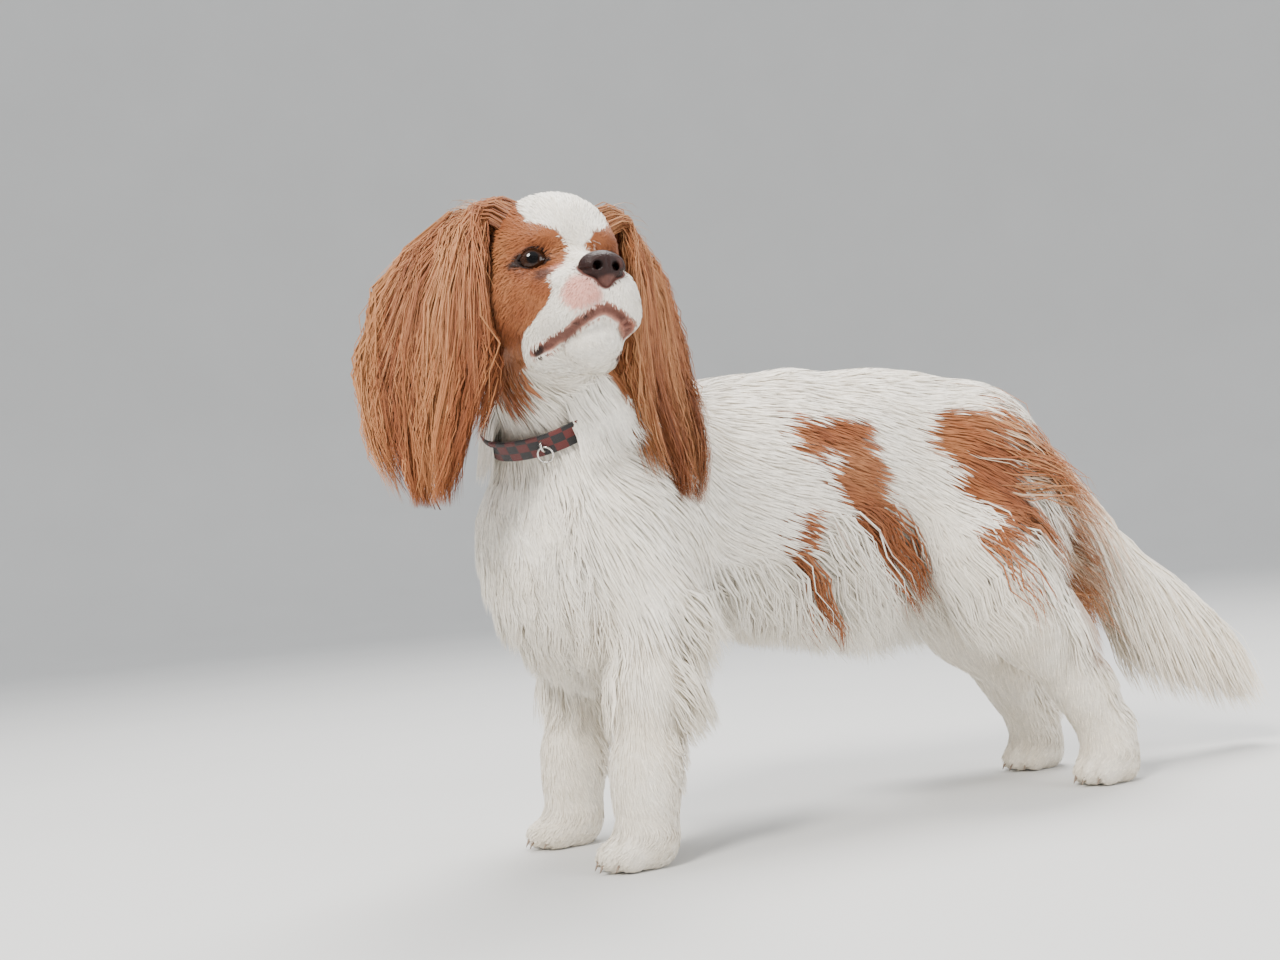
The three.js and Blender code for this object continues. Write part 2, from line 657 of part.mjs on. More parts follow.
// Legs, and paws with their toes and claws
for (const [name, [low, high]] of Object.entries(LEG_BLOCKS)) {
  const cell = name.startsWith("hind") ? [15, 18, 20] : [13, 14, 25];
  const grow = [16, 16, 0];
  const grid = even(sub(low, grow), add(high, [16, 16, 16]), cell);
  const leg = solid(surface(bodyField, grid)).intersect(block([low[0], low[1], PAW_TOP + GAP], high));
  node(name, "white", leg);
  const [x, y] = LEGS[name].paw;
  const pawGrid = [
    ticks([x - 27, 5.8], [x, 5.6], [x + 27, 5.8]),
    ticks([y - 42, 7.5], [y - 10, 12], [y + 42, 20]),
    ticks([-12, 10], [10, 9], [52, 20]),
  ];
  const pawRoom = [[x - 60, y - 70, 0], [x + 60, y + 70, PAW_TOP]];
  const paw = largest(solid(surface(bodyField, pawGrid)).intersect(block(...pawRoom)));
  const claws = TOES.map((across, i) => {
    const ahead = i === 1 || i === 2 ? 30 : 22;
    return solid(new THREE.ConeGeometry(2.2, 12, 4).rotateX(radians(108)).translate(x + across, y - ahead, 6.5));
  });
  node(name.replace("leg", "paw"), "white", claws.reduce((a, b) => a.add(b), paw).intersect(block(...pawRoom)));
}

// Trunk
const trunkGrid = [
  ticks([-95, 16], [0, 23], [95, 16]),
  ticks([-115, 17], [0, 21], [60, 30], [200, 33], [300, 23], [430, 17]),
  ticks([100, 16], [200, 22], [355, 17]),
];
let trunk = before(solid(surface(bodyField, trunkGrid)), NECK_CUT).subtract(tailStretch(GAP));
for (const [name, [low, high]] of Object.entries(LEG_BLOCKS)) {
  const left = name.endsWith("left");
  trunk = trunk.subtract(block(add(low, [left ? -GAP : 0, 0, 0]), add(high, [left ? 0 : GAP, 0, GAP])));
}
node("torso", "white", trunk);

// Tail core
const tailGrid = [ticks([-36, 8], [36, 8]), ticks([330, 12], [530, 13]), ticks([90, 12], [320, 12])];
node("tail", "white", solid(surface(bodyField, tailGrid)).intersect(tailStretch(0)));

// A thin round hoop about centre, in the plane across normal
function hoop(radius, wire, centre, normal) {
  const turn = new THREE.Quaternion().setFromUnitVectors(new THREE.Vector3(0, 0, 1), new THREE.Vector3(...normal));
  return solid(new THREE.TorusGeometry(radius, wire, 5, 16).applyQuaternion(turn).translate(...centre));
}

// Collar: a band round the neck with a small loop, and a ring that hangs in the loop
function makeCollar() {
  const way = unit(COLLAR.along);
  const right = unit(cross(way, [0, 1, 0]));
  const front = cross(way, right);
  const SEGMENTS = 32;
  const LOOP_SEGMENT = 27; // at the left of the throat
  const half = COLLAR.width / 2;
  const neckOnly = fuse(30, trunkField, neckField);
  const reach = (out, shift) => {
    let r = 20;
    for (let i = 0; i < 40; i++) r -= neckOnly(add(add(COLLAR.at, out, r), way, shift)) * 0.7;
    return r;
  };
  const outs = [];
  const points = [];
  for (let i = 0; i < SEGMENTS; i++) {
    const a = (i / SEGMENTS) * 2 * Math.PI;
    const out = add(add([0, 0, 0], right, Math.sin(a)), front, Math.cos(a));
    outs.push(out);
    points.push(add(COLLAR.at, out, Math.max(reach(out, -half), reach(out, 0), reach(out, half)) + 1.2));
  }
  const section = [[0, -half], [COLLAR.thick, -half], [COLLAR.thick, half], [0, half]];
  const strap = clearOf(band(points, () => way, (i) => outs[i], () => section), nodes.neck.made);
  const out = outs[LOOP_SEGMENT];
  const face = add(points[LOOP_SEGMENT], out, COLLAR.thick);
  const loop = hoop(3.4, 0.8, face, cross(out, way));
  node("collar", "strap", strap.add(loop));
  const ringWay = unit(add(way, out, -0.2));
  const ringOut = unit(add(out, way, 0.2));
  node("collar_ring", "metal", hoop(5.2, 0.7, add(add(face, out, 1.4), ringWay, -5.2), ringOut));
}
makeCollar();

// The long coat

// The bib: rows down the forechest, each lock falling over the row below it
const BIB = [
  { up: 246, half: 30, count: 4, length: 60 },
  { up: 214, half: 34, count: 4, length: 58 },
  { up: 190, half: 38, count: 5, length: 58 },
  { up: 166, half: 32, count: 4, length: 56 },
  { up: 146, half: 18, count: 3, length: 48 },
];
const bib = [];
for (const { up, half, count, length } of BIB)
  for (let i = 0; i < count; i++) {
    const x = half * ((2 * i) / (count - 1) - 1) + spread(3);
    const root = rooted(bodyField, [x, -120, up + spread(5)], 5);
    const pull = unit([x * 0.004, 0.12, -1]);
    const points = fall(root, outward(bodyField, root), pull, length * vary(0.14), 0.62, bodyField, 2.2);
    bib.push(lock(points, 26, 5.6, (p) => outward(bodyField, p), 3));
  }
const ruff = bib.splice(0, BIB[0].count);

// The fringe: long hair along the underline, from behind the elbows to the flank
const fringe = [];
for (let i = 0; i < 8; i++)
  for (const side of [-1, 1]) {
    const y = 60 + i * 23 + side * 4 + spread(3);
    const root = rooted(bodyField, [side * (14 + 16 * Math.sin((Math.PI * (i + 2)) / 11)), y, 110], 6);
    const length = (50 + 34 * Math.sin((Math.PI * (i + 1.5)) / 9)) * vary(0.14);
    const points = fall(root, [side * 0.5, 0.35, -1], unit([side * -0.08, 0.3, -1]), length, 0.4, bodyField, 2.5);
    fringe.push(lock(points, 33, 5, () => [side, 0, 0.15]));
  }
coat("torso", [...bib, ...fringe]);
coat("neck", ruff);

// Feathers on the backs of the legs
const FEATHERS = {
  fore: [[46, 168, 56], [41, 140, 56], [36, 112, 48], [29, 84, 38]],
  hind: [[-26, 196, 68], [-17, 158, 64], [-7, 122, 54], [8, 86, 38]],
};
const legRoom = block([-130, -130, PAW_TOP + GAP], [130, 700, 400]);
for (const [name, leg] of Object.entries(LEGS)) {
  const side = name.endsWith("left") ? 1 : -1;
  const [x, y] = leg.paw;
  const feathers = [];
  for (const [back, up, length] of FEATHERS[name.slice(0, 4)])
    for (const shift of [-8, 7]) {
      const root = rooted(bodyField, [x + side * shift, y + back + 30, up + shift * 0.8], 6);
      const points = fall(root, [side * shift * 0.03, 1, -0.6], [0, 0.33, -0.94], length * vary(0.12), 0.4, bodyField, 2.6);
      feathers.push(lock(points, 24, 5, () => [side, shift * 0.05, 0.2], 3).intersect(legRoom));
    }
  coat(name, feathers);
}

// The plume: locks hang from the tail's core, steeply near its root and streaming out at its end
const PLUME = {
  low: [[424, 142], [437, 88], [450, 56], [476, 44], [508, 36], [540, 29], [569, 26]],
  high: [[446, 150], [476, 112], [508, 84], [540, 66], [560, 52], [570, 38]],
};
const tailPath = new THREE.CatmullRomCurve3(TAIL.map(([p]) => new THREE.Vector3(...p)));
const plume = [];
for (const [layer, count, apart] of [["low", 9, 3.5], ["high", 5, 8]])
  for (let i = 0; i < count; i++) {
    const t = i / (count - 1);
    const side = i % 2 ? 1 : -1;
    const root = add(tailPath.getPointAt(0.3 + 0.68 * t).toArray(), [side * 2, 0, 0]);
    const [y, z] = along(PLUME[layer], t);
    const tip = [side * apart + spread(4), y + spread(4), z + spread(4)];
    const reach = Math.hypot(...sub(tip, root));
    const set = add(add(root, tailPath.getTangentAt(0.3 + 0.68 * t).toArray(), reach * 0.3), [side * apart, 0, 0]);
    const bow = add(mix(set, tip, 0.5), [side * 2, reach * 0.05, -2]);
    plume.push(lock([root, set, bow, tip], 33, 6, () => [side, 0, 0.2]));
  }
coat("tail", plume);

// Ears: a flap on the side of the skull, turned so that its back edge stands out, with long hair fanning from it.
// EAR runs down the fan: [forward, aside, up, half its width] in the head's frame
const EAR = [
  [-16, 50, 46, 10],
  [-20, 61, 29, 27],
  [-24, 72, 0, 44],
  [-24, 77, -35, 49],
  [-24, 79, -65, 51],
  [-26, 82, -105, 44],
  [-26, 80, -140, 24],
];
const EAR_HAIR = [
  { from: 0.34, to: 1, count: 6, off: -3 },
  { from: 0.14, to: 0.84, count: 4, off: 4 },
  { from: 0.02, to: 0.58, count: 3, off: 9 },
];
function makeEar(side) {
  const wide = side < 0 ? 1 : 0.88;
  const fan = (t, a, off) => {
    const [f, l, u, half] = along(EAR, t);
    const b = a * half * wide;
    return onHead([f - 0.66 * b + 0.75 * off, side * (l + 0.75 * b + 0.66 * off), u]);
  };
  const flap = fuse(
    10,
    lump([-15, side * 47, 38], [18, 11, 12]),
    lump([-20, side * 60, 14], [30, 5.5, 28], [side * -16, 0, side * -48]),
    lump([-23, side * 73, -24], [34, 5.5, 30], [side * -6, 0, side * -48]),
  );
  const middle = onHead([-20, side * 58, 0]);
  const grid = even(add(middle, [-48, -48, -70]), add(middle, [48, 48, 66]), [9, 9, 11]);
  node(side > 0 ? "ear_left" : "ear_right", "chestnut", solid(surface((p) => flap(inHead(p)), grid)));
  const facing = () => sub(onHead([0.75, side * 0.66, 0]), HEAD_CENTRE);
  const hair = [];
  for (const { from, to, count, off } of EAR_HAIR)
    for (let i = 0; i < count; i++) {
      const a = ((2 * i) / (count - 1) - 1) * 0.86;
      const end = to - 0.1 * a * a + spread(0.05);
      const points = [];
      for (let k = 0; k <= 5; k++) {
        const t = from + ((end - from) * k) / 5;
        const wave = 2.5 * Math.sin(k * 1.9 + i * 2);
        points.push(pushed(fan(t, a + wave * 0.012, off * Math.min(1, 0.4 + k * 0.3)), wholeField, 8));
      }
      hair.push(lock(points, (31 + 4 * (6 - count)) * wide, 5.5, facing));
    }
  return hair;
}
for (const side of [1, -1]) {
  const hair = makeEar(side);
  const name = side > 0 ? "ear_left" : "ear_right";
  for (const other of ["head", "neck", "torso", "collar"])
    nodes[name].made = largest(clearOf(nodes[name].made, nodes[other].made));
  coat(name, hair);
}

// The model, as one group of named meshes
const model = new THREE.Group();
for (const [name, { material, made }] of Object.entries(nodes)) {
  const mesh = weld(made, SHORTEST[name] ?? SHORTEST.plain).getMesh();
  const geometry = new THREE.BufferGeometry();
  geometry.setAttribute("position", new THREE.BufferAttribute(new Float32Array(mesh.vertProperties), 3));
  geometry.setIndex(new THREE.BufferAttribute(new Uint32Array(mesh.triVerts), 1));
  const shown = new THREE.Mesh(geometry, new THREE.MeshStandardMaterial(MATERIALS[material]));
  shown.name = name;
  model.add(shown);
}
model.position.set(...ORIGIN.map((v) => -v));

export default model;
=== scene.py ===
"""A cavalier king charles spaniel, life-size: its skin, coat, eyes, nose, claws and collar.

The shapes are worked in millimetres in the dog's own frame: +X is its left, it faces -Y and its paws stand on
Z = 0. ORIGIN is the middle of its footprint, where the part's frame starts.
"""
import math

import bpy
import numpy as np
from mathutils import Matrix


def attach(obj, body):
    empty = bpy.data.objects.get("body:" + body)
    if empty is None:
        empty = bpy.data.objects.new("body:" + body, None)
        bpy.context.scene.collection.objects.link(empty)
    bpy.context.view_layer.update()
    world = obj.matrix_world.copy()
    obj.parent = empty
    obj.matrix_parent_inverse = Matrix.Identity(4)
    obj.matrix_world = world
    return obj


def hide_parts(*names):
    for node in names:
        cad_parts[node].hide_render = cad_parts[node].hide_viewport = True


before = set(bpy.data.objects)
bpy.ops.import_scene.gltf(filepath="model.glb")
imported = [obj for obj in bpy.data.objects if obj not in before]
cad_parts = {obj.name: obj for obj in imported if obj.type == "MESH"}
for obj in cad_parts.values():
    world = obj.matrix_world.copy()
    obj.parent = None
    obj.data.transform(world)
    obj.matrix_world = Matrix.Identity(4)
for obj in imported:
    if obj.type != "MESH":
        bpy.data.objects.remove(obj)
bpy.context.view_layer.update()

ORIGIN = np.array([42.0, 201.0, 0.0])
HEAD_CENTRE = np.array([72.0, -42.0, 379.0])
HEAD_TURN = (91, 3, -3)  # degrees: towards its left, up, and tilted
EYE_RADIUS = 12.5
EYE_GAP = 0.15  # between an eyeball and the head
LID = 1.5  # how thick the lids are
GAZE_OUT = 0.42  # how far the eyes look outwards for 1 forwards
COLLAR = {"at": [13, -22, 311], "along": [0.34, -0.5, 0.8], "width": 14, "thick": 2.4}
CAMERA = {"at": (0.834, -0.521, 0.191), "azimuth": 68, "pitch": 3.7, "roll": -5.1, "lens": 37.97}
FLOOR = 0.3  # mm that the coat keeps above the floor
FARTHEST_RIGHT = -93.0  # mm: no hair goes past it
SIDES = {"left": 1, "right": -1}
random = np.random.default_rng(20)


# Vectors


def unit(a):
    """a, one vector or many, at length 1."""
    a = np.asarray(a, float)
    return a / np.maximum(np.linalg.norm(a, axis=-1, keepdims=True), 1e-9)


def tipped(level, side, pitch, roll):
    """The ahead, side and up directions after a level pair is tipped up and rolled."""
    rise = np.array([0, 0, 1.0])
    ahead = level * math.cos(pitch) + rise * math.sin(pitch)
    up = rise * math.cos(pitch) - level * math.sin(pitch)
    across = side * math.cos(roll) + up * math.sin(roll)
    return np.array([ahead, across, up * math.cos(roll) - side * math.sin(roll)])


def head_frame():
    """The head's forward, left and up as rows."""
    yaw, pitch, roll = (math.radians(v) for v in HEAD_TURN)
    level = np.array([math.sin(yaw), -math.cos(yaw), 0])
    side = np.array([math.cos(yaw), math.sin(yaw), 0])
    return tipped(level, side, pitch, roll)


HEAD = head_frame()


def in_head(p):
    """The head's coordinates of points: forward, left, up."""
    return (p - HEAD_CENTRE) @ HEAD.T


def on_head(q):
    """Points given in the head's coordinates."""
    return HEAD_CENTRE + np.asarray(q, float) @ HEAD


def turned(degrees):
    """The rotation about X, Y and Z in turn."""
    x, y, z = (math.radians(v) for v in degrees)
    about_x = np.array([[1, 0, 0], [0, math.cos(x), -math.sin(x)], [0, math.sin(x), math.cos(x)]])
    about_y = np.array([[math.cos(y), 0, math.sin(y)], [0, 1, 0], [-math.sin(y), 0, math.cos(y)]])
    about_z = np.array([[math.cos(z), -math.sin(z), 0], [math.sin(z), math.cos(z), 0], [0, 0, 1]])
    return about_x @ about_y @ about_z


# Fields: each is negative inside the shape and grows about a millimetre a millimetre


def lump(at, size, turn=(0, 0, 0)):
    """An ellipsoid."""
    rotation = turned(turn)
    at = np.array(at, float)
    size = np.array(size, float)

    def field(p):
        v = (p - at) @ rotation if any(turn) else p - at
        a = v / size
        k0 = np.sqrt((a * a).sum(-1))
        b = a / size
        k1 = np.sqrt((b * b).sum(-1))
        return np.where(k1 < 1e-9, -size.min(), k0 * (k0 - 1) / np.maximum(k1, 1e-9))

    return field


def limb(a, b, ra, rb):
    """A rounded cone from a to b."""
    a = np.array(a, float)
    along = np.array(b, float) - a
    length2 = along @ along

    def field(p):
        v = p - a
        t = np.clip(v @ along / length2, 0, 1)
        v = v - t[..., None] * along
        return np.sqrt((v * v).sum(-1)) - (ra + (rb - ra) * t)

    return field


def chain(stations):
    """Rounded cones through (point, radius) stations."""
    return [limb(a, b, ra, rb) for (a, ra), (b, rb) in zip(stations, stations[1:])]


def joined(k, d, e):
    """The smooth union of two fields' values."""
    h = np.maximum(k - np.abs(d - e), 0) / k
    return np.minimum(d, e) - h * h * k / 4


def fuse(k, *shapes):
    """Shapes that flow into each other over about k."""

    def field(p):
        d = shapes[0](p)
        for shape in shapes[1:]:
            d = joined(k, d, shape(p))
        return d

    return field


def carve(k, shape, *cuts):
    """shape with cuts smoothly taken away."""

    def field(p):
        d = shape(p)
        for cut in cuts:
            d = -joined(k, -d, cut(p))
        return d

    return field


def both(make):
    return [make(-1), make(1)]


def way_out(field, p, e=0.6):
    """The field's value at p and its outward direction."""
    d = field(p)
    g = np.stack([field(p + np.eye(3)[k] * e) - d for k in range(3)], -1)
    return d, unit(g)


# The head, in its own coordinates: forward, left, up

SKULL = [
    lump([-14, 0, 10], [52, 45, 44]),
    lump([8, 0, 19], [34, 35, 31]),
    *both(lambda s: lump([2, s * 26, -18], [36, 18, 32])),
    *both(lambda s: lump([29, s * 17, 14], [13, 13, 8])),
    *both(lambda s: limb([20, s * 26, -18], [46, s * 20, -24], 15, 12)),
]
MUZZLE = [
    limb([28, 0, -8], [78, 0, -19], 18, 10),
    *both(lambda s: limb([34, s * 15, -22], [74, s * 11, -28], 15, 13)),
    *both(lambda s: limb([34, s * 18, -42], [72, s * 14, -42], 14, 14)),
    *both(lambda s: lump([77, s * 9, -36], [12, 12, 14])),
]
JAW = [
    limb([-8, 0, -42], [58, 0, -56], 26, 15),
    lump([66, 0, -58], [16, 17, 13.5]),
    *both(lambda s: lump([28, s * 18, -50], [22, 13, 18])),
]
HOLLOWS = both(lambda s: lump([41, s * 28, 0], [8, 8, 6], [0, 0, -s * 25]))
head_plain = carve(5, fuse(4, fuse(12, fuse(12, *SKULL), fuse(9, *MUZZLE)), fuse(8, *JAW)), *HOLLOWS)

# The line of the mouth from its left corner to the middle of the lip
MOUTH = [
    (34.5, 28, -58),
    (46, 23.8, -57),
    (57, 20, -55),
    (71, 18.4, -54),
    (81.5, 15.4, -51),
    (86, 9, -46.5),
    (87, 0, -43),
]
MOUTH_RADIUS = 1.3
MOUTH_DEPTH = 0.8


def mouth_path(count=23):
    """Even points from corner to corner of the mouth, drawn in below the surface."""
    whole = np.array([(f, -l, u) for f, l, u in MOUTH] + MOUTH[::-1][1:], float)
    run = np.concatenate([[0], np.cumsum(np.linalg.norm(np.diff(whole, axis=0), axis=1))])
    at = np.linspace(0, run[-1], count)
    path = np.stack([np.interp(at, run, whole[:, k]) for k in range(3)], -1)
    for _ in range(4):
        gap, outwards = way_out(head_plain, path, 0.25)
        path = path - outwards * (gap + MOUTH_DEPTH)[:, None]
    return path


mouth_points = mouth_path()
mouth_lines = [limb(a, b, MOUTH_RADIUS, MOUTH_RADIUS) for a, b in zip(mouth_points, mouth_points[1:])]


def mouth(q):
    return np.minimum.reduce([line(q) for line in mouth_lines])


def gaze_frame(side):
    """An eye's centre, and its across, up and gaze directions. Across points outwards."""
    gaze = unit([1, side * GAZE_OUT, 0.05])
    across = unit([-GAZE_OUT, side, 0.0])
    across = unit(across - gaze * (across @ gaze))
    up = np.cross(gaze, across) * side
    return np.array([26.5, side * 21.5, 0.0]), across, up, gaze


def eye_local(q, side):
    centre, across, up, gaze = gaze_frame(side)
    v = q - centre
    return np.stack([v @ across, v @ up, v @ gaze], -1)


def eye_opening(side):
    """The almond between the lids: two arcs that meet at the corners of the eye."""
    half, above, below = 8.7, 6.0, 5.2
    r1 = (half**2 + above**2) / (2 * above)
    r2 = (half**2 + below**2) / (2 * below)

    def field(q):
        e = eye_local(q, side)
        y = e[..., 1] + 0.1 * e[..., 0]
        top = np.hypot(e[..., 0], y + (r1 - above)) - r1
        low = np.hypot(e[..., 0], y - (r2 - below)) - r2
        return np.maximum(np.maximum(top, low), 3 - e[..., 2])

    return field


openings = {s: eye_opening(s) for s in (-1, 1)}
lids = both(lambda s: lump(gaze_frame(s)[0], [EYE_RADIUS + LID] * 3))


def ball_front(side):
    """The front of the room that the eyeball fills."""
    ball = lump(gaze_frame(side)[0], [EYE_RADIUS + EYE_GAP] * 3)
    return lambda q: np.maximum(ball(q), 3 - eye_local(q, side)[..., 2])


balls = both(ball_front)
NOSE = [
    lump([86, 0, -17], [8.5, 11, 8.5]),
    *both(lambda s: lump([83.5, s * 7.5, -18], [8, 6.5, 7])),
    lump([86, 0, -25], [5.5, 4.5, 6]),
]
nose_plain = fuse(4, *NOSE)
groove = limb([95, 0, -26], [90, 0, -40], 1.0, 0.8)


def head_fine(q):
    """The head with its lids, the line of the mouth and the groove below the nose."""
    d = head_plain(q)
    for lid in lids:
        d = joined(3, d, lid(q))
    for opening in openings.values():
        d = -joined(0.8, -d, opening(q))
    for ball in balls:
        d = np.maximum(d, -ball(q))
    d = -joined(2.2, -d, mouth(q))
    return -joined(1.6, -d, groove(q))


# The neck, trunk, legs, paws and tail

neck = fuse(24, *chain([([0, 22, 250], 68), ([6, -12, 297], 53), ([33, -33, 336], 44), ([58, -41, 366], 42)]))
TRUNK = [
    lump([0, 0, 216], [65, 86, 82]),
    lump([0, 116, 237], [69, 120, 82]),
    lump([0, 222, 263], [56, 86, 62]),
    lump([0, 300, 257], [59, 66, 60]),
    limb([0, 40, 286], [0, 150, 300], 28, 24),
    limb([0, 160, 295], [0, 255, 294], 24, 22),
    *both(lambda s: lump([s * 40, 2, 228], [25, 42, 60], [12, 0, 0])),
]
AHEAD = {1: 0, -1: 13}
BACK = {1: 0, -1: 6}
TOES = [-12, -4.5, 4.5, 12]


def foreleg(s):
    a = AHEAD[s]
    stations = [
        ([s * 38, 6, 226], 32),
        ([s * 47, 17 - a, 166], 28),
        ([s * 52, 7 - a, 112], 23.5),
        ([s * 53, -1 - a, 62], 20),
        ([s * 54, -4 - a, 26], 17.5),
    ]
    return fuse(20, *chain(stations))


def hindleg(s):
    b = BACK[s]
    stations = [
        ([s * 44, 282, 182], 42),
        ([s * 46, 318 + b / 2, 124], 30),
        ([s * 47, 356 + b, 74], 19.5),
        ([s * 47, 372 + b, 30], 17),
    ]
    return fuse(20, lump([s * 36, 292, 222], [31, 64, 62], [-18, 0, 0]), *chain(stations))


PAWS = [(s * 54, -6 - AHEAD[s]) for s in (1, -1)] + [(s * 47, 377 + BACK[s]) for s in (1, -1)]


def paw(x, y):
    toes = []
    for i, across in enumerate(TOES):
        middle = i in (1, 2)
        at = [x + across, y - (21 if middle else 14), 10]
        toes.append(lump(at, [6.6, 13 if middle else 12, 10.5]))
    pad = fuse(10, lump([x, y - 3, 13], [17.5, 20, 15]), limb([x, y + 4, 14], [x, y + 2, 40], 15, 17))
    return fuse(4, pad, *toes)


TAIL = [
    ([0, 338, 276], 21),
    ([0, 372, 247], 17),
    ([0, 410, 200], 13),
    ([0, 452, 165], 10),
    ([0, 500, 134], 6),
]
tail_core = fuse(8, *chain(TAIL))
trunk = fuse(26, *TRUNK, *both(foreleg), *both(hindleg))
paws = [paw(x, y) for x, y in PAWS]


def body(p):
    """All but the head."""
    d = joined(30, trunk(p), neck(p))
    d = joined(16, d, tail_core(p))
    low = p[..., 2] < 75
    if low.any():
        q = p[low]
        e = d[low]
        for one in paws:
            e = joined(16, e, one(q))
        d[low] = e
    return d


def ramp(x, low, high):
    """0 at low, 1 at high, smooth between."""
    t = np.clip((x - low) / (high - low), 0, 1)
    return t * t * (3 - 2 * t)


def depth(p, head_d, body_d):
    """How far the skin lies inside the outer form: by the coat's lie there."""
    leg = ramp(p[..., 2], 50, 190)
    deep = 1.2 + 3.3 * leg
    return deep + (1.1 - deep) * ramp(body_d - head_d, -14, 8)


def skin_with(head_field):
    def field(p):
        near = p[..., 2] > 255
        b = body(p)
        h = np.full(b.shape, 400.0)
        if near.any():
            h[near] = head_field(in_head(p[near]))
        return np.maximum(joined(14, b, h) + depth(p, h, b), -p[..., 2])

    return field


skin_plain = skin_with(head_plain)
skin_fine = skin_with(head_fine)


# Surfaces


def sampled(field, low, high, step, margin=8.0):
    """The field on an even grid. Blocks that lie well clear of the surface take one value."""
    size = 6
    axes = [np.arange(a, b + step, step) for a, b in zip(low, high)]
    blocks = [math.ceil(len(a) / size) for a in axes]
    middles = [a[0] + (np.arange(n) * size + (size - 1) / 2) * step for a, n in zip(axes, blocks)]
    grid = np.stack(np.meshgrid(*middles, indexing="ij"), -1)
    coarse = field(grid.reshape(-1, 3)).reshape(blocks)
    close = np.abs(coarse) < 0.9 * size * step + margin

    def spread(block):
        for k in range(3):
            block = np.repeat(block, size, axis=k)
        return block[: len(axes[0]), : len(axes[1]), : len(axes[2])].copy()

    value = spread(coarse)
    at = np.nonzero(spread(close))
    points = np.stack([axis[i] for axis, i in zip(axes, at)], -1)
    batches = np.array_split(points, max(1, len(points) // 150000))
    value[at] = np.concatenate([field(batch) for batch in batches])
    return value


def surface(field, low, high, step):
    """The closed surface of a field, with one vertex in each crossed cell: points and triangles."""
    value = sampled(field, low, high, step)
    inside = value < 0
    corners = [np.array([c & 1, c >> 1 & 1, c >> 2 & 1]) for c in range(8)]
    nx, ny, nz = value.shape
    count = sum(inside[a : nx - 1 + a, b : ny - 1 + b, c : nz - 1 + c].astype(np.int8) for a, b, c in corners)
    cells = np.nonzero((count > 0) & (count < 8))
    number = np.full(value.shape, -1)
    number[cells] = np.arange(len(cells[0]))
    total = np.zeros((len(cells[0]), 3))
    crossings = np.zeros(len(cells[0]))
    for i in range(8):
        for k in (1, 2, 4):
            if i & k:
                continue
            a, b = corners[i], corners[i | k]
            va = value[cells[0] + a[0], cells[1] + a[1], cells[2] + a[2]]
            vb = value[cells[0] + b[0], cells[1] + b[1], cells[2] + b[2]]
            cross = (va < 0) != (vb < 0)
            t = np.where(cross, va / np.where(va == vb, 1, va - vb), 0)
            total += np.where(cross[:, None], a + t[:, None] * (b - a), 0)
            crossings += cross
    points = np.array(low, float) + (np.stack(cells, -1) + total / crossings[:, None]) * step
    quads = []
    for axis in range(3):
        s, u, w = (np.eye(3, dtype=int)[(axis + k) % 3] for k in range(3))
        first = tuple(slice(0, n - d) for n, d in zip(value.shape, s))
        second = tuple(slice(d, None) for d in s)
        crossed = np.nonzero(inside[first] != inside[second])
        at = np.stack(crossed, -1)
        starts_in = inside[crossed]
        around = ((0, 0), (1, 0), (1, 1), (0, 1))
        quad = np.stack([number[tuple((at - p * u - q * w).T)] for p, q in around], -1)
        quad[~starts_in] = quad[~starts_in][:, ::-1]
        quads.append(quad)
    quads = np.concatenate(quads)
    return points, np.concatenate([quads[:, [0, 1, 2]], quads[:, [0, 2, 3]]])


def split(points, tris, chosen):
    """Halves each edge whose middle is chosen, and the triangles with it."""
    edges = np.sort(np.concatenate([tris[:, [0, 1]], tris[:, [1, 2]], tris[:, [2, 0]]]), 1)
    keys, back = np.unique(edges[:, 0] * len(points) + edges[:, 1], return_inverse=True)
    a, b = keys // len(points), keys % len(points)
    middle = (points[a] + points[b]) / 2
    mark = chosen(middle)
    new = np.where(mark, len(points) + np.cumsum(mark) - 1, -1)
    m = new[back].reshape(3, -1).T
    n = (m >= 0).sum(1)
    out = [tris[n == 0]]
    t, k = tris[n == 3], m[n == 3]
    quarters = [
        (t[:, 0], k[:, 0], k[:, 2]),
        (k[:, 0], t[:, 1], k[:, 1]),
        (k[:, 2], k[:, 1], t[:, 2]),
        tuple(k.T),
    ]
    out += [np.stack(quarter, -1) for quarter in quarters]
    for r in range(3):
        one = (n == 1) & (m[:, r] >= 0)
        a, b, c = (tris[one][:, (r + i) % 3] for i in range(3))
        q = m[one, r]
        out += [np.stack([a, q, c], -1), np.stack([q, b, c], -1)]
        two = (n == 2) & (m[:, (r + 2) % 3] < 0)
        a, b, c = (tris[two][:, (r + i) % 3] for i in range(3))
        p, q = m[two, r], m[two, (r + 1) % 3]
        out += [np.stack([p, b, q], -1), np.stack([a, p, q], -1), np.stack([a, q, c], -1)]
    return np.concatenate([points, middle[mark]]), np.concatenate(out)


def settled(points, field, rounds=3, limit=1.5):
    """Points drawn onto the surface of a field."""
    for _ in range(rounds):
        d, g = way_out(field, points, 0.25)
        points = points - g * np.clip(d, -limit, limit)[:, None]
    return points


# Colours, as linear red, green and blue

WHITE = np.array([0.90, 0.85, 0.76])
CREAM = np.array([0.80, 0.69, 0.52])
CHESTNUT = np.array([0.26, 0.078, 0.025])
DEEP = np.array([0.10, 0.026, 0.009])
FAIR = np.array([0.47, 0.215, 0.090])
PINK = np.array([0.74, 0.32, 0.25])
LIP = np.array([0.16, 0.055, 0.042])
DARK = np.array([0.016, 0.009, 0.008])


def mix(a, b, t):
    return a + (b - a) * np.asarray(t)[..., None]


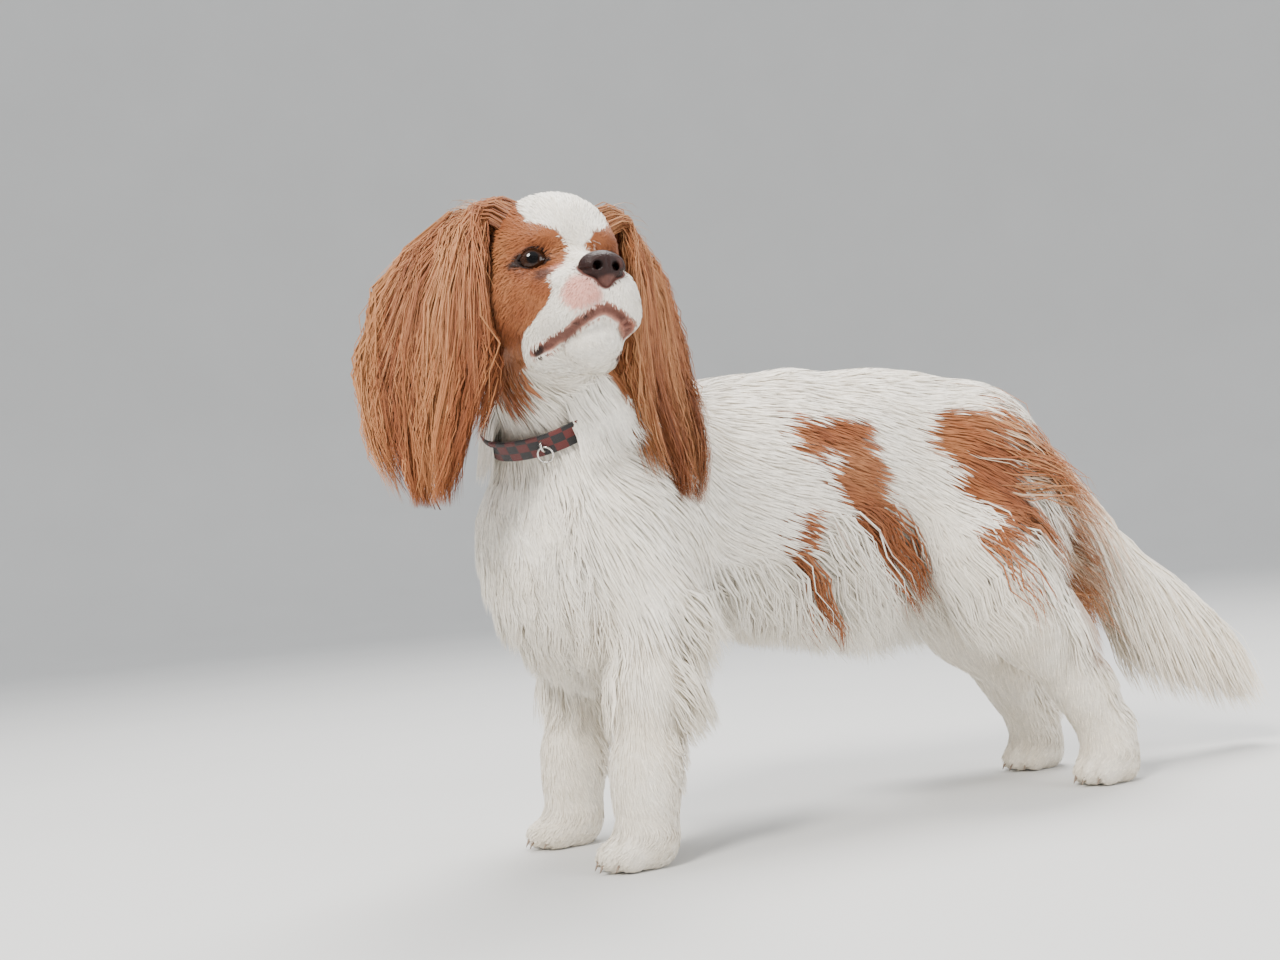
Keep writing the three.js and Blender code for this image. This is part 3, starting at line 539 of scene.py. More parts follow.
def noise(p, size):
    """A smooth, irregular wave from about -1 to 1, with features about size across."""
    a = p @ np.array([[0.36, 0.80, -0.48], [-0.80, 0.48, 0.36], [0.48, 0.36, 0.80]]) * (2.4 / size)
    x, y, z = a[..., 0], a[..., 1], a[..., 2]
    s = np.sin(x + 1.7 * np.sin(0.7 * y + 0.4)) + np.sin(y * 1.13 + 1.9 * np.sin(0.8 * z + 2.0))
    return (s + np.sin(z * 0.91 + 1.6 * np.sin(0.9 * x + 5.0))) / 2.4


def ellipse(y, z, at_y, at_z, a, b, turn=0):
    """Distance from an ellipse in the dog's side view, about."""
    c, s = math.cos(math.radians(turn)), math.sin(math.radians(turn))
    u, v = y - at_y, z - at_z
    u, v = u * c + v * s, v * c - u * s
    k0 = np.sqrt((u / a) ** 2 + (v / b) ** 2)
    k1 = np.sqrt((u / a**2) ** 2 + (v / b**2) ** 2)
    return k0 * (k0 - 1) / np.maximum(k1, 1e-9)


# Chestnut patches: (y, z, half length, half height, turn)
LEFT_PATCHES = [
    [(129, 273, 12, 16, 0), (163, 273, 25, 15, 0), (170, 243, 24, 28, 25), (180, 216, 22, 20, 0)],
    [(118, 201, 9, 27, -14)],
    [(262, 268, 30, 20, -10), (276, 238, 25, 24, 0), (287, 211, 24, 15, -25), (265, 195, 11, 10, 0)],
    [(302, 272, 4, 15, 20)],
]
RIGHT_PATCHES = [
    [(150, 277, 33, 17, -8), (136, 246, 22, 22, 0), (163, 222, 16, 18, 0)],
    [(282, 268, 34, 22, -14), (304, 238, 24, 26, 0), (262, 236, 14, 18, 10)],
    [(72, 272, 14, 13, 0)],
]
BLAZE_UP = [-90, -20, -10, -2, 9, 17, 20, 24, 31, 42, 60]
BLAZE_HALF = [0, 2, 10, 8, 5, 12, 20, 26, 27, 24, 22]
MASK_UP = [-90, -70, -57, -50, -44, -40, -35, -29, -18, -10, -2, 9, 60]
MASK_END = [-60, -40, -2, 9, 32, 48, 62, 69, 62, 57, 52, 45, 60]


def chestnut(p, ragged=0.0):
    """How much of the coat at p is chestnut, from 0 to 1."""
    x, y, z = p[..., 0], p[..., 1], p[..., 2]
    wave = noise(p, 16) * 3.0 + noise(p, 6) * 1.6 + ragged
    d = np.full(x.shape, 99.0)
    for patches, there in ((LEFT_PATCHES, x > 4), (RIGHT_PATCHES, x < -20 + wave)):
        for patch in patches:
            e = ellipse(y, z, *patch[0])
            for one in patch[1:]:
                e = joined(9, e, ellipse(y, z, *one))
            d = np.where(there, np.minimum(d, e), d)
    top = limb([14, 318, 262], [8, 384, 232], 6, 7)(p)
    d = np.minimum(d, top)
    weight = 1 - ramp(d + wave, -1.2, 1.2)
    thigh = limb([72, 318, 200], [60, 350, 100], 9, 5)(p) + wave
    weight = np.maximum(weight, 0.55 * (1 - ramp(thigh, -5, 5)))
    q = in_head(p)
    f, l, u = q[..., 0], np.abs(q[..., 1]), q[..., 2]
    blaze = l - np.interp(u, BLAZE_UP, BLAZE_HALF)
    mask = (np.interp(u, MASK_UP, MASK_END) - f) * 0.8
    behind = (f + 52 + 0.35 * (u + 30)) * 0.8
    there = np.minimum(np.minimum(blaze, mask), behind) + wave * 0.35
    face = ramp(there, -0.9, 0.9) * (z > 300) * (y < 30)
    spot = lump([81, 16, -54], [7, 6, 7])(q) + wave * 0.4
    return np.maximum(weight, np.maximum(face, 0.85 * (1 - ramp(spot, -1, 1))))


def stained(colour, tint, amount, distance, inner, outer, there):
    """colour with tint over it: amount of it up to inner, less and less up to outer."""
    return mix(colour, tint, amount * (1 - ramp(distance, inner, outer)) * there)


def eye_marks(colour, q, near):
    """The dark rims and corners of the eyes, and the tear marks below them."""
    for s in (-1, 1):
        tear = lump([53, s * 24, -14], [8, 6, 4.5], [0, 30, 0])(q)
        e = eye_local(q, s)
        front = e[..., 2] > 4
        ring = np.where(front, openings[s](q), 9)
        slant = e[..., 1] + 0.1 * e[..., 0] + 0.3
        corners = np.where(front, ellipse(e[..., 0], slant, 0, 0, 12.0, 5.4), 9)
        colour = stained(colour, DEEP * 0.6, 0.85, tear, -2, 2, near)
        colour = stained(colour, DEEP * 0.7, 0.75, ring, 1.0, 4.5, near)
        colour = stained(colour, DARK, 0.85, corners, -0.4, 1.2, near)
        colour = stained(colour, DARK, 1, ring, 1.0, 2.0, near)
    return colour


def lip_marks(colour, p, q, near):
    """The pink and dark edges of the lips, and the leather's edge around the nose."""
    line = mouth(q)
    upper = ramp(q[..., 2] - mouth_height(q), -3.5, -0.5)
    corner = 1 - ramp(np.abs(q[..., 0] - 37), 1, 8)
    lip = mix(np.array([0.36, 0.13, 0.085]), PINK, 0.3 * ramp(noise(p, 6), 0, 1))
    colour = stained(colour, lip, 0.92, line, 2.2, 3.8, upper * near)
    colour = stained(colour, LIP * 0.7, 0.85, line, 0.9, 2.2, near)
    colour = stained(colour, DARK, 0.9, line, 0.2 + 0.9 * corner, 1.1 + 1.2 * corner, near)
    dark = np.minimum(nose_plain(q), groove(q) + 0.2)
    return stained(colour, LIP * 0.7, 1, dark, 0.8, 2.0, near)


def coat_colour(p, ragged=0.0):
    """The coat's colour at p."""
    q = in_head(p)
    tint = noise(p, 24) * 0.5 + noise(p, 9) * 0.3
    low = 1 - ramp(p[..., 2], 60, 240)
    white = mix(WHITE, CREAM, np.clip(0.12 + 0.22 * tint + 0.25 * low, 0, 0.7))
    red = mix(CHESTNUT, FAIR, np.clip(0.16 + 0.35 * tint, 0, 1))
    red = mix(red, DEEP, np.clip(-0.1 - 0.6 * tint, 0, 0.6))
    colour = mix(white, red, chestnut(p, ragged))
    near = p[..., 2] > 290
    colour = eye_marks(colour, q, near)
    pink = lump([84, -13, -34], [11, 12.5, 10])(q) + noise(p, 7) * 1.2
    bridge = lump([58, -17, -6], [8, 6, 7])(q)
    colour = stained(colour, PINK, 0.9, pink, -3, 2.5, near)
    colour = stained(colour, PINK, 0.35, bridge, -2, 3, near)
    return lip_marks(colour, p, q, near)


def mouth_height(q):
    """The height of the line of the mouth at the same place along the muzzle."""
    return np.interp(q[..., 0], [35, 46, 57, 71, 81, 86], [-58, -57, -55, -54, -51, -45])


# Meshes


def placed(points):
    """Points in the part's frame, in metres."""
    return (np.asarray(points) - ORIGIN) / 1000


def corner_normals(points, tris, normals):
    """Each corner's normal, mirrored in its face where it would point to the face's back."""
    a, b, c = (points[tris[:, k]] for k in range(3))
    face = np.nan_to_num(unit(np.cross(b - a, c - a)))[:, None]
    own = normals[tris]
    behind = np.minimum((own * face).sum(-1, keepdims=True), 0)
    return unit(own - 2 * behind * face).reshape(-1, 3)


def mesh_of(name, points, tris, colours=None, uv=None, uv_name="OFBake", normals=None):
    """A Blender mesh object from arrays. uv has one pair for each vertex, or for each corner."""
    mesh = bpy.data.meshes.new(name)
    mesh.vertices.add(len(points))
    mesh.vertices.foreach_set("co", placed(points).astype(np.float32).ravel())
    tris = np.asarray(tris)
    corners = tris.shape[1]
    mesh.loops.add(tris.size)
    mesh.polygons.add(len(tris))
    mesh.loops.foreach_set("vertex_index", tris.astype(np.int32).ravel())
    mesh.polygons.foreach_set("loop_start", np.arange(0, tris.size, corners, dtype=np.int32))
    mesh.polygons.foreach_set("loop_total", np.full(len(tris), corners, dtype=np.int32))
    mesh.update(calc_edges=True)
    mesh.polygons.foreach_set("use_smooth", np.ones(len(tris), dtype=bool))
    if colours is not None:
        layer = mesh.color_attributes.new("tone", "FLOAT_COLOR", "POINT")
        rgba = np.concatenate([np.clip(colours, 0, 1), np.ones((len(points), 1))], 1)
        layer.data.foreach_set("color", rgba.astype(np.float32).ravel())
    if uv is not None:
        uv = np.asarray(uv)
        if len(uv) == len(points):
            uv = uv[tris.ravel()]
        layer = mesh.uv_layers.new(name=uv_name)
        layer.data.foreach_set("uv", uv.astype(np.float32).ravel())
    mesh.validate()
    if normals is not None and len(mesh.loops) == tris.size:
        mesh.normals_split_custom_set(corner_normals(points, tris, normals).astype(np.float32))
    thing = bpy.data.objects.new(name, mesh)
    bpy.context.scene.collection.objects.link(thing)
    return thing


def finish_piece(thing, material, slot, *nodes):
    """Gives a piece its material, hangs it from the root and hides the imported parts of the nodes that it
    stands for.
    """
    thing.data.materials.append(material)
    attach(thing, "root")
    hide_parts(*nodes)


# Materials


def shader(name, roughness, specular=0.5, sheen=0.0):
    """A new material with nodes: the material, its tree and its Principled shader."""
    material = bpy.data.materials.new(name)
    material.use_nodes = True
    base = material.node_tree.nodes["Principled BSDF"]
    base.inputs["Roughness"].default_value = roughness
    base.inputs["Specular IOR Level"].default_value = specular
    base.inputs["Sheen Weight"].default_value = sheen
    return material, material.node_tree, base


def object_texture(tree, kind, scale):
    """A texture in the object's own coordinates."""
    where = tree.nodes.new("ShaderNodeTexCoord")
    texture = tree.nodes.new(kind)
    texture.inputs["Scale"].default_value = scale
    tree.links.new(where.outputs["Object"], texture.inputs["Vector"])
    return texture


def noise_node(tree, scale, detail):
    texture = object_texture(tree, "ShaderNodeTexNoise", scale)
    texture.inputs["Detail"].default_value = detail
    return texture


def toned(tree, base, amount, texture):
    """Base colour from the tone attribute, lightened and darkened by a texture."""
    tone = tree.nodes.new("ShaderNodeAttribute")
    tone.attribute_name = "tone"
    change = tree.nodes.new("ShaderNodeMapRange")
    change.inputs["To Min"].default_value = 1 - amount
    change.inputs["To Max"].default_value = 1 + amount
    vary = tree.nodes.new("ShaderNodeMix")
    vary.data_type = "RGBA"
    vary.blend_type = "MULTIPLY"
    vary.inputs["Factor"].default_value = 1
    tree.links.new(texture.outputs["Fac"], change.inputs["Value"])
    tree.links.new(tone.outputs["Color"], vary.inputs["A"])
    tree.links.new(change.outputs["Result"], vary.inputs["B"])
    tree.links.new(vary.outputs["Result"], base.inputs["Base Color"])


def graded(tree, base, texture, low, high):
    """Base colour from a texture, between two colours."""
    tones = tree.nodes.new("ShaderNodeValToRGB")
    tones.color_ramp.elements[0].color = (*low, 1)
    tones.color_ramp.elements[1].color = (*high, 1)
    tree.links.new(texture.outputs["Fac"], tones.inputs["Fac"])
    tree.links.new(tones.outputs["Color"], base.inputs["Base Color"])


def bumped(tree, base, height, strength, distance, invert=False):
    """A bump from a texture's output."""
    bump = tree.nodes.new("ShaderNodeBump")
    bump.inputs["Strength"].default_value = strength
    bump.inputs["Distance"].default_value = distance
    bump.invert = invert
    tree.links.new(height, bump.inputs["Height"])
    tree.links.new(bump.outputs["Normal"], base.inputs["Normal"])


def fur_material():
    material, tree, base = shader("long_fur", 0.5, 0.22, 0.06)
    toned(tree, base, 0.22, noise_node(tree, 420, 3))
    base.inputs["Sheen Roughness"].default_value = 0.5
    return material


def skin_material():
    material, tree, base = shader("short_fur", 0.7, 0.25, 0.05)
    toned(tree, base, 0.25, noise_node(tree, 900, 4))
    bumped(tree, base, noise_node(tree, 1500, 3).outputs["Fac"], 0.5, 0.0006)
    return material


FUR = fur_material()
SKIN = skin_material()

# The skin

LOW = np.array([-96.0, -118.0, -4.0])
HIGH = np.array([190.0, 520.0, 446.0])
points, tris = surface(skin_plain, LOW, HIGH, 3.0)


def on_face(p):
    q = in_head(p)
    return (q[..., 0] > -8) & (p[..., 2] > 285)


def on_head_all(p):
    return (p[..., 2] > 290) & (in_head(p)[..., 0] > -62)


def on_features(p):
    q = in_head(p)
    near = np.minimum.reduce([opening(q) for opening in openings.values()]) < 7
    near &= q[..., 0] > 20
    return (near | (mouth(q) < 4.5) | (groove(q) < 3)) & (p[..., 2] > 290)


def on_toes(p):
    return p[..., 2] < 26


points, tris = split(points, tris, lambda p: on_head_all(p) | on_toes(p))
points = settled(points, skin_plain, 2)
points, tris = split(points, tris, on_face)
points = settled(points, skin_plain, 1)
points, tris = split(points, tris, on_features)
points = settled(points, skin_fine, 4)


def used(points, tris):
    """Points and triangles without points that no triangle uses."""
    keep = np.zeros(len(points), bool)
    keep[tris.ravel()] = True
    return points[keep], (np.cumsum(keep) - 1)[tris]


points, tris = used(points, tris)
corner = points[tris]
face_cross = np.cross(corner[:, 1] - corner[:, 0], corner[:, 2] - corner[:, 0])
face_area = np.linalg.norm(face_cross, axis=1) / 2
face_normal = unit(face_cross)
face_middle = corner.mean(1)
print("skin", len(points), len(tris))


# An unwrap of the skin: each part of the body is seen from its six sides, each side in a field of its own


def part_of(p):
    """Which part of the body a point is on, from 0 to 6."""
    x, y, z = p[..., 0], p[..., 1], p[..., 2]
    part = np.zeros(x.shape, int)
    part[z > 318] = 1
    part[(z < 175) & (y < 120) & (x > 0)] = 2
    part[(z < 175) & (y < 120) & (x <= 0)] = 3
    part[(z < 215) & (y >= 200) & (x > 0)] = 4
    part[(z < 215) & (y >= 200) & (x <= 0)] = 5
    part[y > 352 + (z < 120) * 200] = 6
    return part


PARTS = 7
parts = part_of(face_middle)
strongest = np.abs(face_normal).argmax(1)
ways = strongest * 2 + (np.take_along_axis(face_normal, strongest[:, None], 1)[:, 0] > 0)
part_low = np.array([face_middle[parts == k].min(0) - 6 for k in range(PARTS)])
part_high = np.array([face_middle[parts == k].max(0) + 6 for k in range(PARTS)])


def unwrapped(p, part, way):
    """The place on the unwrap of points whose face has that part and way."""
    t = (p - part_low[part]) / (part_high[part] - part_low[part])
    axis = way // 2
    u = np.where(axis == 0, t[..., 1], t[..., 0])
    v = np.where(axis == 2, t[..., 1], t[..., 2])
    u = (part + 0.04 + 0.92 * np.clip(u, 0, 1)) / PARTS
    v = (way + 0.04 + 0.92 * np.clip(v, 0, 1)) / 6
    return np.stack([u, v], -1)


skin_uv = unwrapped(points[tris].reshape(-1, 3), np.repeat(parts, 3), np.repeat(ways, 3))
skin = mesh_of("skin", points, tris, coat_colour(points) * 0.9, skin_uv)
limbs = [f"{end}{kind}_{side}" for end in ("fore", "hind") for kind in ("leg", "paw") for side in SIDES]
finish_piece(skin, SKIN, "coat_white", "head", "neck", "torso", "tail", *limbs)


# The coat


def rooted(count, weight):
    """Even random roots on the skin where weight, of each face's middle and normal, is above 0."""
    w = face_area * weight
    total = np.cumsum(w)
    at = (np.arange(count) + random.random(count)) / count * total[-1]
    face = np.searchsorted(total, at)
    face = np.clip(face, 0, len(tris) - 1)
    a, b = random.random((2, count))
    over = a + b > 1
    a, b = np.where(over, 1 - a, a), np.where(over, 1 - b, b)
    c = corner[face]
    p = c[:, 0] + (c[:, 1] - c[:, 0]) * a[:, None] + (c[:, 2] - c[:, 0]) * b[:, None]
    return p, unwrapped(p, parts[face], ways[face])


def flat(v, n):
    """v laid in the surface with normal n."""
    return unit(v - (v * n).sum(-1, keepdims=True) * n)


def each(*parts):
    """One vector for each point, from numbers and arrays."""
    return np.stack(np.broadcast_arrays(*parts), -1)


def drift(p, size):
    """A slow irregular vector field."""
    return each(noise(p, size), noise(p + 50, size), noise(p + 90, size))


def comb(p):
    """The way that the coat lies at p, before it is laid in the surface."""
    x, y, z = p[..., 0], p[..., 1], p[..., 2]
    v = each(0.0, 1.0, -0.35 - 0.5 * ramp(255 - z, 0, 90))
    v = mix(v, each(x * 0.006, 0.12, -1), ramp(30 - y, 0, 90))
    shoulder = ramp(60 - np.abs(y - 30), 0, 50) * ramp(np.abs(x), 20, 50)
    v = mix(v, (0, 0.45, -0.9), shoulder * 0.7)
    v = mix(v, (0, 0.8, -0.75), ramp(y, 235, 300))
    v = mix(v, (0, 0.28, -1), ramp(190 - z, 0, 50) * (1 - (np.abs(y - 140) < 50) * 0.6))
    v = mix(v, (0, 0.75, -0.66), ramp(y, 345, 365) * ramp(z, 110, 130))
    v = mix(v, (0, -0.8, -0.6), ramp(30 - z, 0, 12))
    v = mix(v, each(-0.25 + 0.006 * x, 0.42, -0.9), ramp(z, 262, 300) * ramp(70 - y, 0, 50))
    q = in_head(p)
    f, l, u = q[..., 0], q[..., 1], q[..., 2]
    back = each(-1.0, 0.012 * l, -0.25 - 0.5 * ramp(-u, -10, 40) + 1.0 * ramp(u, 5, 30))
    face = mix(back, each(-0.6, 0.01 * l, -1), ramp(-f, 20, 50)) @ HEAD
    v = mix(unit(v), unit(face), ramp(z, 318, 338) * ramp(f, -75, -45))
    return unit(v) + drift(p, 60) * 0.16 + drift(p, 18) * 0.08 + each(np.sign(x) * 0.03, 0, 0)


def laid(root, length, steps, lift, clear, pull=None, bend=0.0, gather=(8.0, 0.3), sink=0.8, spread=0.0):
    """Paths of hairs that start at root, follow the coat's lie or bend to pull, and stay clear of the skin.

    Returns the points of each path and the outward direction at each."""
    n = len(root)
    _, g = way_out(skin_plain, root)
    lift = np.broadcast_to(lift, (n,))[:, None]
    length = np.broadcast_to(length, (n,))[:, None]
    clear = np.broadcast_to(clear, (n,))
    jitter = random.normal(0, 1, (n, 3)) * spread
    d = flat(comb(root) + jitter, g)
    path, out = [root - g * sink], [g]
    p = root
    for i in range(steps):
        if i:
            d = flat(comb(p) + jitter, g) if pull is None else unit(d * (1 - bend) + pull * bend)
        rise = lift * (1 - 0.6 * i / steps) if pull is None else lift * (i == 0)
        p = p + (d * np.cos(rise) + g * np.sin(rise)) * length / steps
        dist, g2 = way_out(skin_plain, p)
        want = clear * (i + 1) / steps if pull is None else clear * min(1, 0.5 + i / steps)
        p = p + g2 * np.maximum(want - dist, 0)[:, None]
        g = g2 if pull is None else unit(g * 0.5 + g2 * 0.5)
        path.append(p)
        out.append(g)
    path = np.stack(path, 1)
    size, amount = gather
    if amount:
        cell = np.floor((root + noise(root, size * 3)[:, None] * size * 0.5) / size).astype(int) + 500
        _, group = np.unique(cell @ np.array([1, 2000, 4000000]), return_inverse=True)
        number = np.bincount(group)
        tip = path[:, -1]
        middle = np.stack([np.bincount(group, tip[:, k]) / number for k in range(3)], -1)[group]
        t = np.linspace(0, 1, steps + 1)[None, :, None] ** 1.6
        path = path + (middle - tip)[:, None] * t * amount
    return path, np.stack(out, 1)


def hairs(path, out, width, thick, roll=0.5):
    """Closed, tapered hairs along paths, with three-sided sections and a tip.

    Returns points, triangles, normals and the number of sections. The normals lean towards the coat's
    outward direction, so that the coat shades as one soft surface."""
    n, m, _ = path.shape
    width = np.broadcast_to(width, (n,))
    along = np.empty_like(path)
    along[:, 1:-1] = path[:, 2:] - path[:, :-2]
    along[:, 0] = path[:, 1] - path[:, 0]
    along[:, -1] = path[:, -1] - path[:, -2]
    along = unit(along)
    across = unit(np.cross(along, out))
    up = np.cross(across, along)
    angle = random.uniform(-roll, roll, n)[:, None, None]
    across, up = across * np.cos(angle) + up * np.sin(angle), up * np.cos(angle) - across * np.sin(angle)
    t = np.arange(m - 1) / (m - 1)
    shape = 0.62 + 0.38 * np.sin(np.pi * np.minimum(1, t * 1.25 + 0.12))
    shape = shape * (1 - 0.45 * t**2)
    w = (width[:, None] * shape / 2)[..., None]
    core = path[:, :-1]
    left, right = core - across[:, :-1] * w, core + across[:, :-1] * w
    ridge = core + up[:, :-1] * (thick * shape)[None, :, None]
    rings = np.stack([left, right, ridge], 2).reshape(n, -1, 3)
    points = np.concatenate([rings, path[:, -1:]], 1)
    faces = [[0, 1, 2]]
    for i in range(m - 2):
        for k in range(3):
            a, b = 3 * i + k, 3 * i + (k + 1) % 3
            faces += [[a, b + 3, b], [a, a + 3, b + 3]]
    last = 3 * (m - 2)
    faces += [[last + k, last + 3, last + (k + 1) % 3] for k in range(3)]
    tris = np.array(faces)[None] + (np.arange(n) * points.shape[1])[:, None, None]
    agree = (up * out).sum(-1, keepdims=True)
    leaning = np.clip((agree - 0.1) / 0.4, 0, 1)
    out = unit(out * leaning + up * (1 - leaning))
    soft = out[:, :-1] * 0.75
    rims = np.stack([soft - across[:, :-1] * 0.5, soft + across[:, :-1] * 0.5, soft + up[:, :-1] * 0.5], 2)
    normals = unit(np.concatenate([rims.reshape(n, -1, 3), out[:, -1:]], 1))
    return points.reshape(-1, 3), tris.reshape(-1, 3), normals.reshape(-1, 3), m - 1


def coat(name, path, out, width, colour, uv, slot, *nodes, thick, root_shade):
    """One coat piece from hair paths, with the colour of each hair's root, and painted shade that darkens
    each hair towards its root.
    """
    points, tris, normals, rings = hairs(path, out, width, thick)
    points[:, 2] = np.maximum(points[:, 2], FLOOR)
    points[:, 0] = np.maximum(points[:, 0], FARTHEST_RIGHT)
    n = len(path)
    t = np.concatenate([np.repeat(np.arange(rings) / rings, 3), [1]])
    # Painted shade and light: each hair is darker at its root, deep in the coat, and lighter towards its tip,
    # out in the light
    tone = root_shade[0] + (root_shade[1] - root_shade[0]) * t
    own = 1 + random.normal(0, 0.07, (n, 1, 1))
    colours = colour[:, None, :] * tone[None, :, None] * own
    place = np.concatenate([np.tile([[-1, 0], [1, 0], [0, 0]], (rings, 1)), [[0, 0]]]) * 0.0015
    place[:, 1] = (t - 0.5) * 0.003
    patch = uv[:, None, :] + place[None]
    thing = mesh_of(name, points, tris, colours.reshape(-1, 3), patch.reshape(-1, 2), normals=normals)
    finish_piece(thing, FUR, slot, *nodes)
    print(name, n, len(tris))


x, y, z = face_middle.T
head_q = in_head(face_middle)
mouth_gap = mouth(head_q)
lid_gaps = [np.where(eye_local(head_q, s)[..., 2] > 3, openings[s](head_q), 30) for s in (-1, 1)]
lid_gap = np.minimum.reduce(lid_gaps)
nose_gap = nose_plain(head_q)
is_head = (head_q[:, 0] > -50) & (head_plain(head_q) < body(face_middle) + 1) & (z > 290)
is_tail = (y > 350) & (z > 120)
is_paw = z < 34
fore = (y < 120) & (z < 160) & ~is_paw
hind = (y > 230) & (z < 175) & ~is_paw & ~is_tail
is_trunk = ~(is_head | is_tail | is_paw | fore | hind)


def at_each(value, p):
    """A value that is a number, or a function of the points."""
    return value(p) if callable(value) else value


def between(low, high, start, more):
    """A function of height that goes from start to start + more between two heights."""
    return lambda p: start + more * ramp(p[..., 2], low, high)


def short_coat(name, nodes, count, weight, length, width, lift, clear, gather, thick, root_shade):
    """Short hair laid along the skin where weight is above 0."""
    root, uv = rooted(count, weight)
    size = length(root) * random.uniform(0.75, 1.2, count)
    path, out = laid(root, size, 2, at_each(lift, root), at_each(clear, root), gather=gather, spread=0.07)
    wide = at_each(width, root) * random.uniform(0.75, 1.25, count)
    colour = coat_colour(root, random.normal(0, 1.6, count))
    coat(name, path, out, wide, colour, uv, "coat_white", *nodes, thick=thick, root_shade=root_shade)


def face_length(p):
    q = in_head(p)
    base = 3.2 + 3.5 * ramp(-q[..., 0], -60, -10) + 5 * ramp(-q[..., 0], 0, 40)
    return base + 2.5 * ramp(q[..., 2], 20, 45)


def trunk_length(p):
    y, z = p[..., 1], p[..., 2]
    base = 19 + 9 * ramp(250 - z, 0, 60)
    return base + 7 * ramp(60 - y, 0, 70) + 4 * ramp(y, 250, 320)


def trunk_lift(p):
    """Flat on the back, looser on the chest."""
    return 0.05 + 0.1 * ramp(70 - p[..., 1], 0, 60)


lip_gap = 0.8 + 1.6 * (head_q[:, 2] > mouth_height(head_q) - 0.5)
open_skin = (nose_gap > 0.6) & (mouth_gap > lip_gap) & (lid_gap > 1.4)
fine = 1.0 + 1.6 * ramp(head_q[:, 0], 0, 45)
short_coat(
    "coat_head",
    ["head"],
    count=12500,
    weight=is_head * open_skin * fine,
    length=face_length,
    width=lambda p: 0.55 + 0.09 * face_length(p),
    lift=0.22,
    clear=lambda p: 0.25 + 0.1 * face_length(p),
    gather=(4.0, 0.2),
    thick=0.2,
    root_shade=(0.8, 1.06),
)
HALVES = {"left": x > 0, "right": x <= 0}
for side, half in HALVES.items():
    short_coat(
        f"coat_torso_{side}",
        ["torso", "neck"],
        count=14200,
        weight=is_trunk & half,
        length=trunk_length,
        width=1.65,
        lift=trunk_lift,
        clear=2.6,
        gather=(8.0, 0.16),
        thick=0.2,
        root_shade=(0.93, 1.03),
    )
for end, leg, paw_end in (("fore", fore, y < 200), ("hind", hind, y >= 200)):
    for side, half in HALVES.items():
        short_coat(
            f"coat_{end}leg_{side}",
            [f"{end}leg_{side}"],
            count=3300,
            weight=leg & half,
            length=between(60, 160, 9, 6),
            width=1.1,
            lift=0.08,
            clear=between(50, 180, 0.8, 2.0),
            gather=(6.0, 0.12),
            thick=0.18,
            root_shade=(0.9, 1.03),
        )
        short_coat(
            f"coat_{end}paw_{side}",
            [f"{end}paw_{side}"],
            count=1100,
            weight=is_paw & paw_end & half & (z > 2),
            length=between(14, 34, 5, 6),
            width=1.1,
            lift=0.14,
            clear=between(14, 34, 0.5, 0.5),
            gather=(5.0, 0.2),
            thick=0.3,
            root_shade=(0.8, 1.06),
        )


# The long hair


def waved(path, height, length, ways, phase):
    """Paths swung from side to side, more towards their tips."""
    n, m, _ = path.shape
    steps = np.linalg.norm(np.diff(path, axis=1), axis=2)
    run = np.concatenate([np.zeros((n, 1)), np.cumsum(steps, 1)], 1)
    swing = np.sin(run / length * 2 * np.pi + phase[:, None]) * height * np.clip(run / 35, 0, 1)
    return path + swing[..., None] * ways[:, None, :]


def hanging(name, nodes, count, weight, length, pull, bend, width, steps, lift, clear, wave, gather, root_shade,
            colour_at=None):
    """Long hair rooted on the skin where weight is above 0, which bends towards pull."""
    root, uv = rooted(count, weight)
    size = length(root) * random.uniform(0.78, 1.12, count)
    aim = unit(pull(root) if callable(pull) else np.tile(pull, (count, 1)))
    aim = unit(aim + random.normal(0, 0.07, (count, 3)))
    path, out = laid(root, size, steps, lift, clear, pull=aim, bend=bend, gather=gather, spread=0.12)
    sideways = unit(np.cross(aim, out[:, 0]))
    phase = noise(root, 20) * 3 + noise(root, 7)
    path = waved(path, wave, 42.0, sideways, phase)
    wide = width * random.uniform(0.7, 1.25, count)
    colour = coat_colour(root, random.normal(0, 1.6, count))
    if colour_at is not None:
        colour = colour_at(root, colour)
    coat(name, path, out, wide, colour, uv, "coat_white", *nodes, thick=0.45, root_shade=root_shade)


chest = (face_normal[:, 1] < 0.1) & (y < 30) & (z > 128) & (z < 262) & (np.abs(x) < 62)
hanging(
    "coat_bib",
    ["torso", "neck"],
    count=6200,
    weight=chest * (0.4 + ramp(-face_normal[:, 1], -0.1, 0.5)) * (1 - ramp(np.abs(x), 40, 62)),
    length=lambda p: 40 + 16 * ramp(230 - p[..., 2], 0, 60),
    pull=lambda p: each(p[..., 0] * 0.004 - 0.12, 0.08, -1),
    bend=0.4,
    width=1.35,
    steps=4,
    lift=0.3,
    clear=5.0,
    wave=3.2,
    gather=(17.0, 0.55),
    root_shade=(0.9, 1.04),
)

# The lower edge of the belly's hair, along the body
FRINGE_Y = [40, 85, 116, 154, 194, 229, 262]
FRINGE_Z = [150, 130, 120, 100, 88, 92, 122]


def fringe_length(p):
    bottom = np.interp(p[..., 1], FRINGE_Y, FRINGE_Z)
    return np.clip((p[..., 2] - bottom) * 1.16 + 5, 22, 96)


under = (y > 50) & (y < 262) & (z < 222) & (z > 120) & (face_normal[:, 2] < 0.4)
under &= ~(fore & (np.abs(x) > 20)) & ~(hind & ((y > 250) | (z < 140))) & ((z < 196) | (y > 130))
hanging(
    "coat_fringe",
    ["torso"],
    count=5200,
    weight=under * (0.45 + ramp(206 - z, 0, 50)),
    length=fringe_length,
    pull=lambda p: each(p[..., 0] * 0.001, 0.12 + 0.45 * ramp(p[..., 1], 70, 230), -1),
    bend=0.6,
    width=1.35,
    steps=5,
    lift=0.2,
    clear=3.4,
    wave=3.4,
    gather=(16.0, 0.55),
    root_shade=(0.9, 1.04),
)


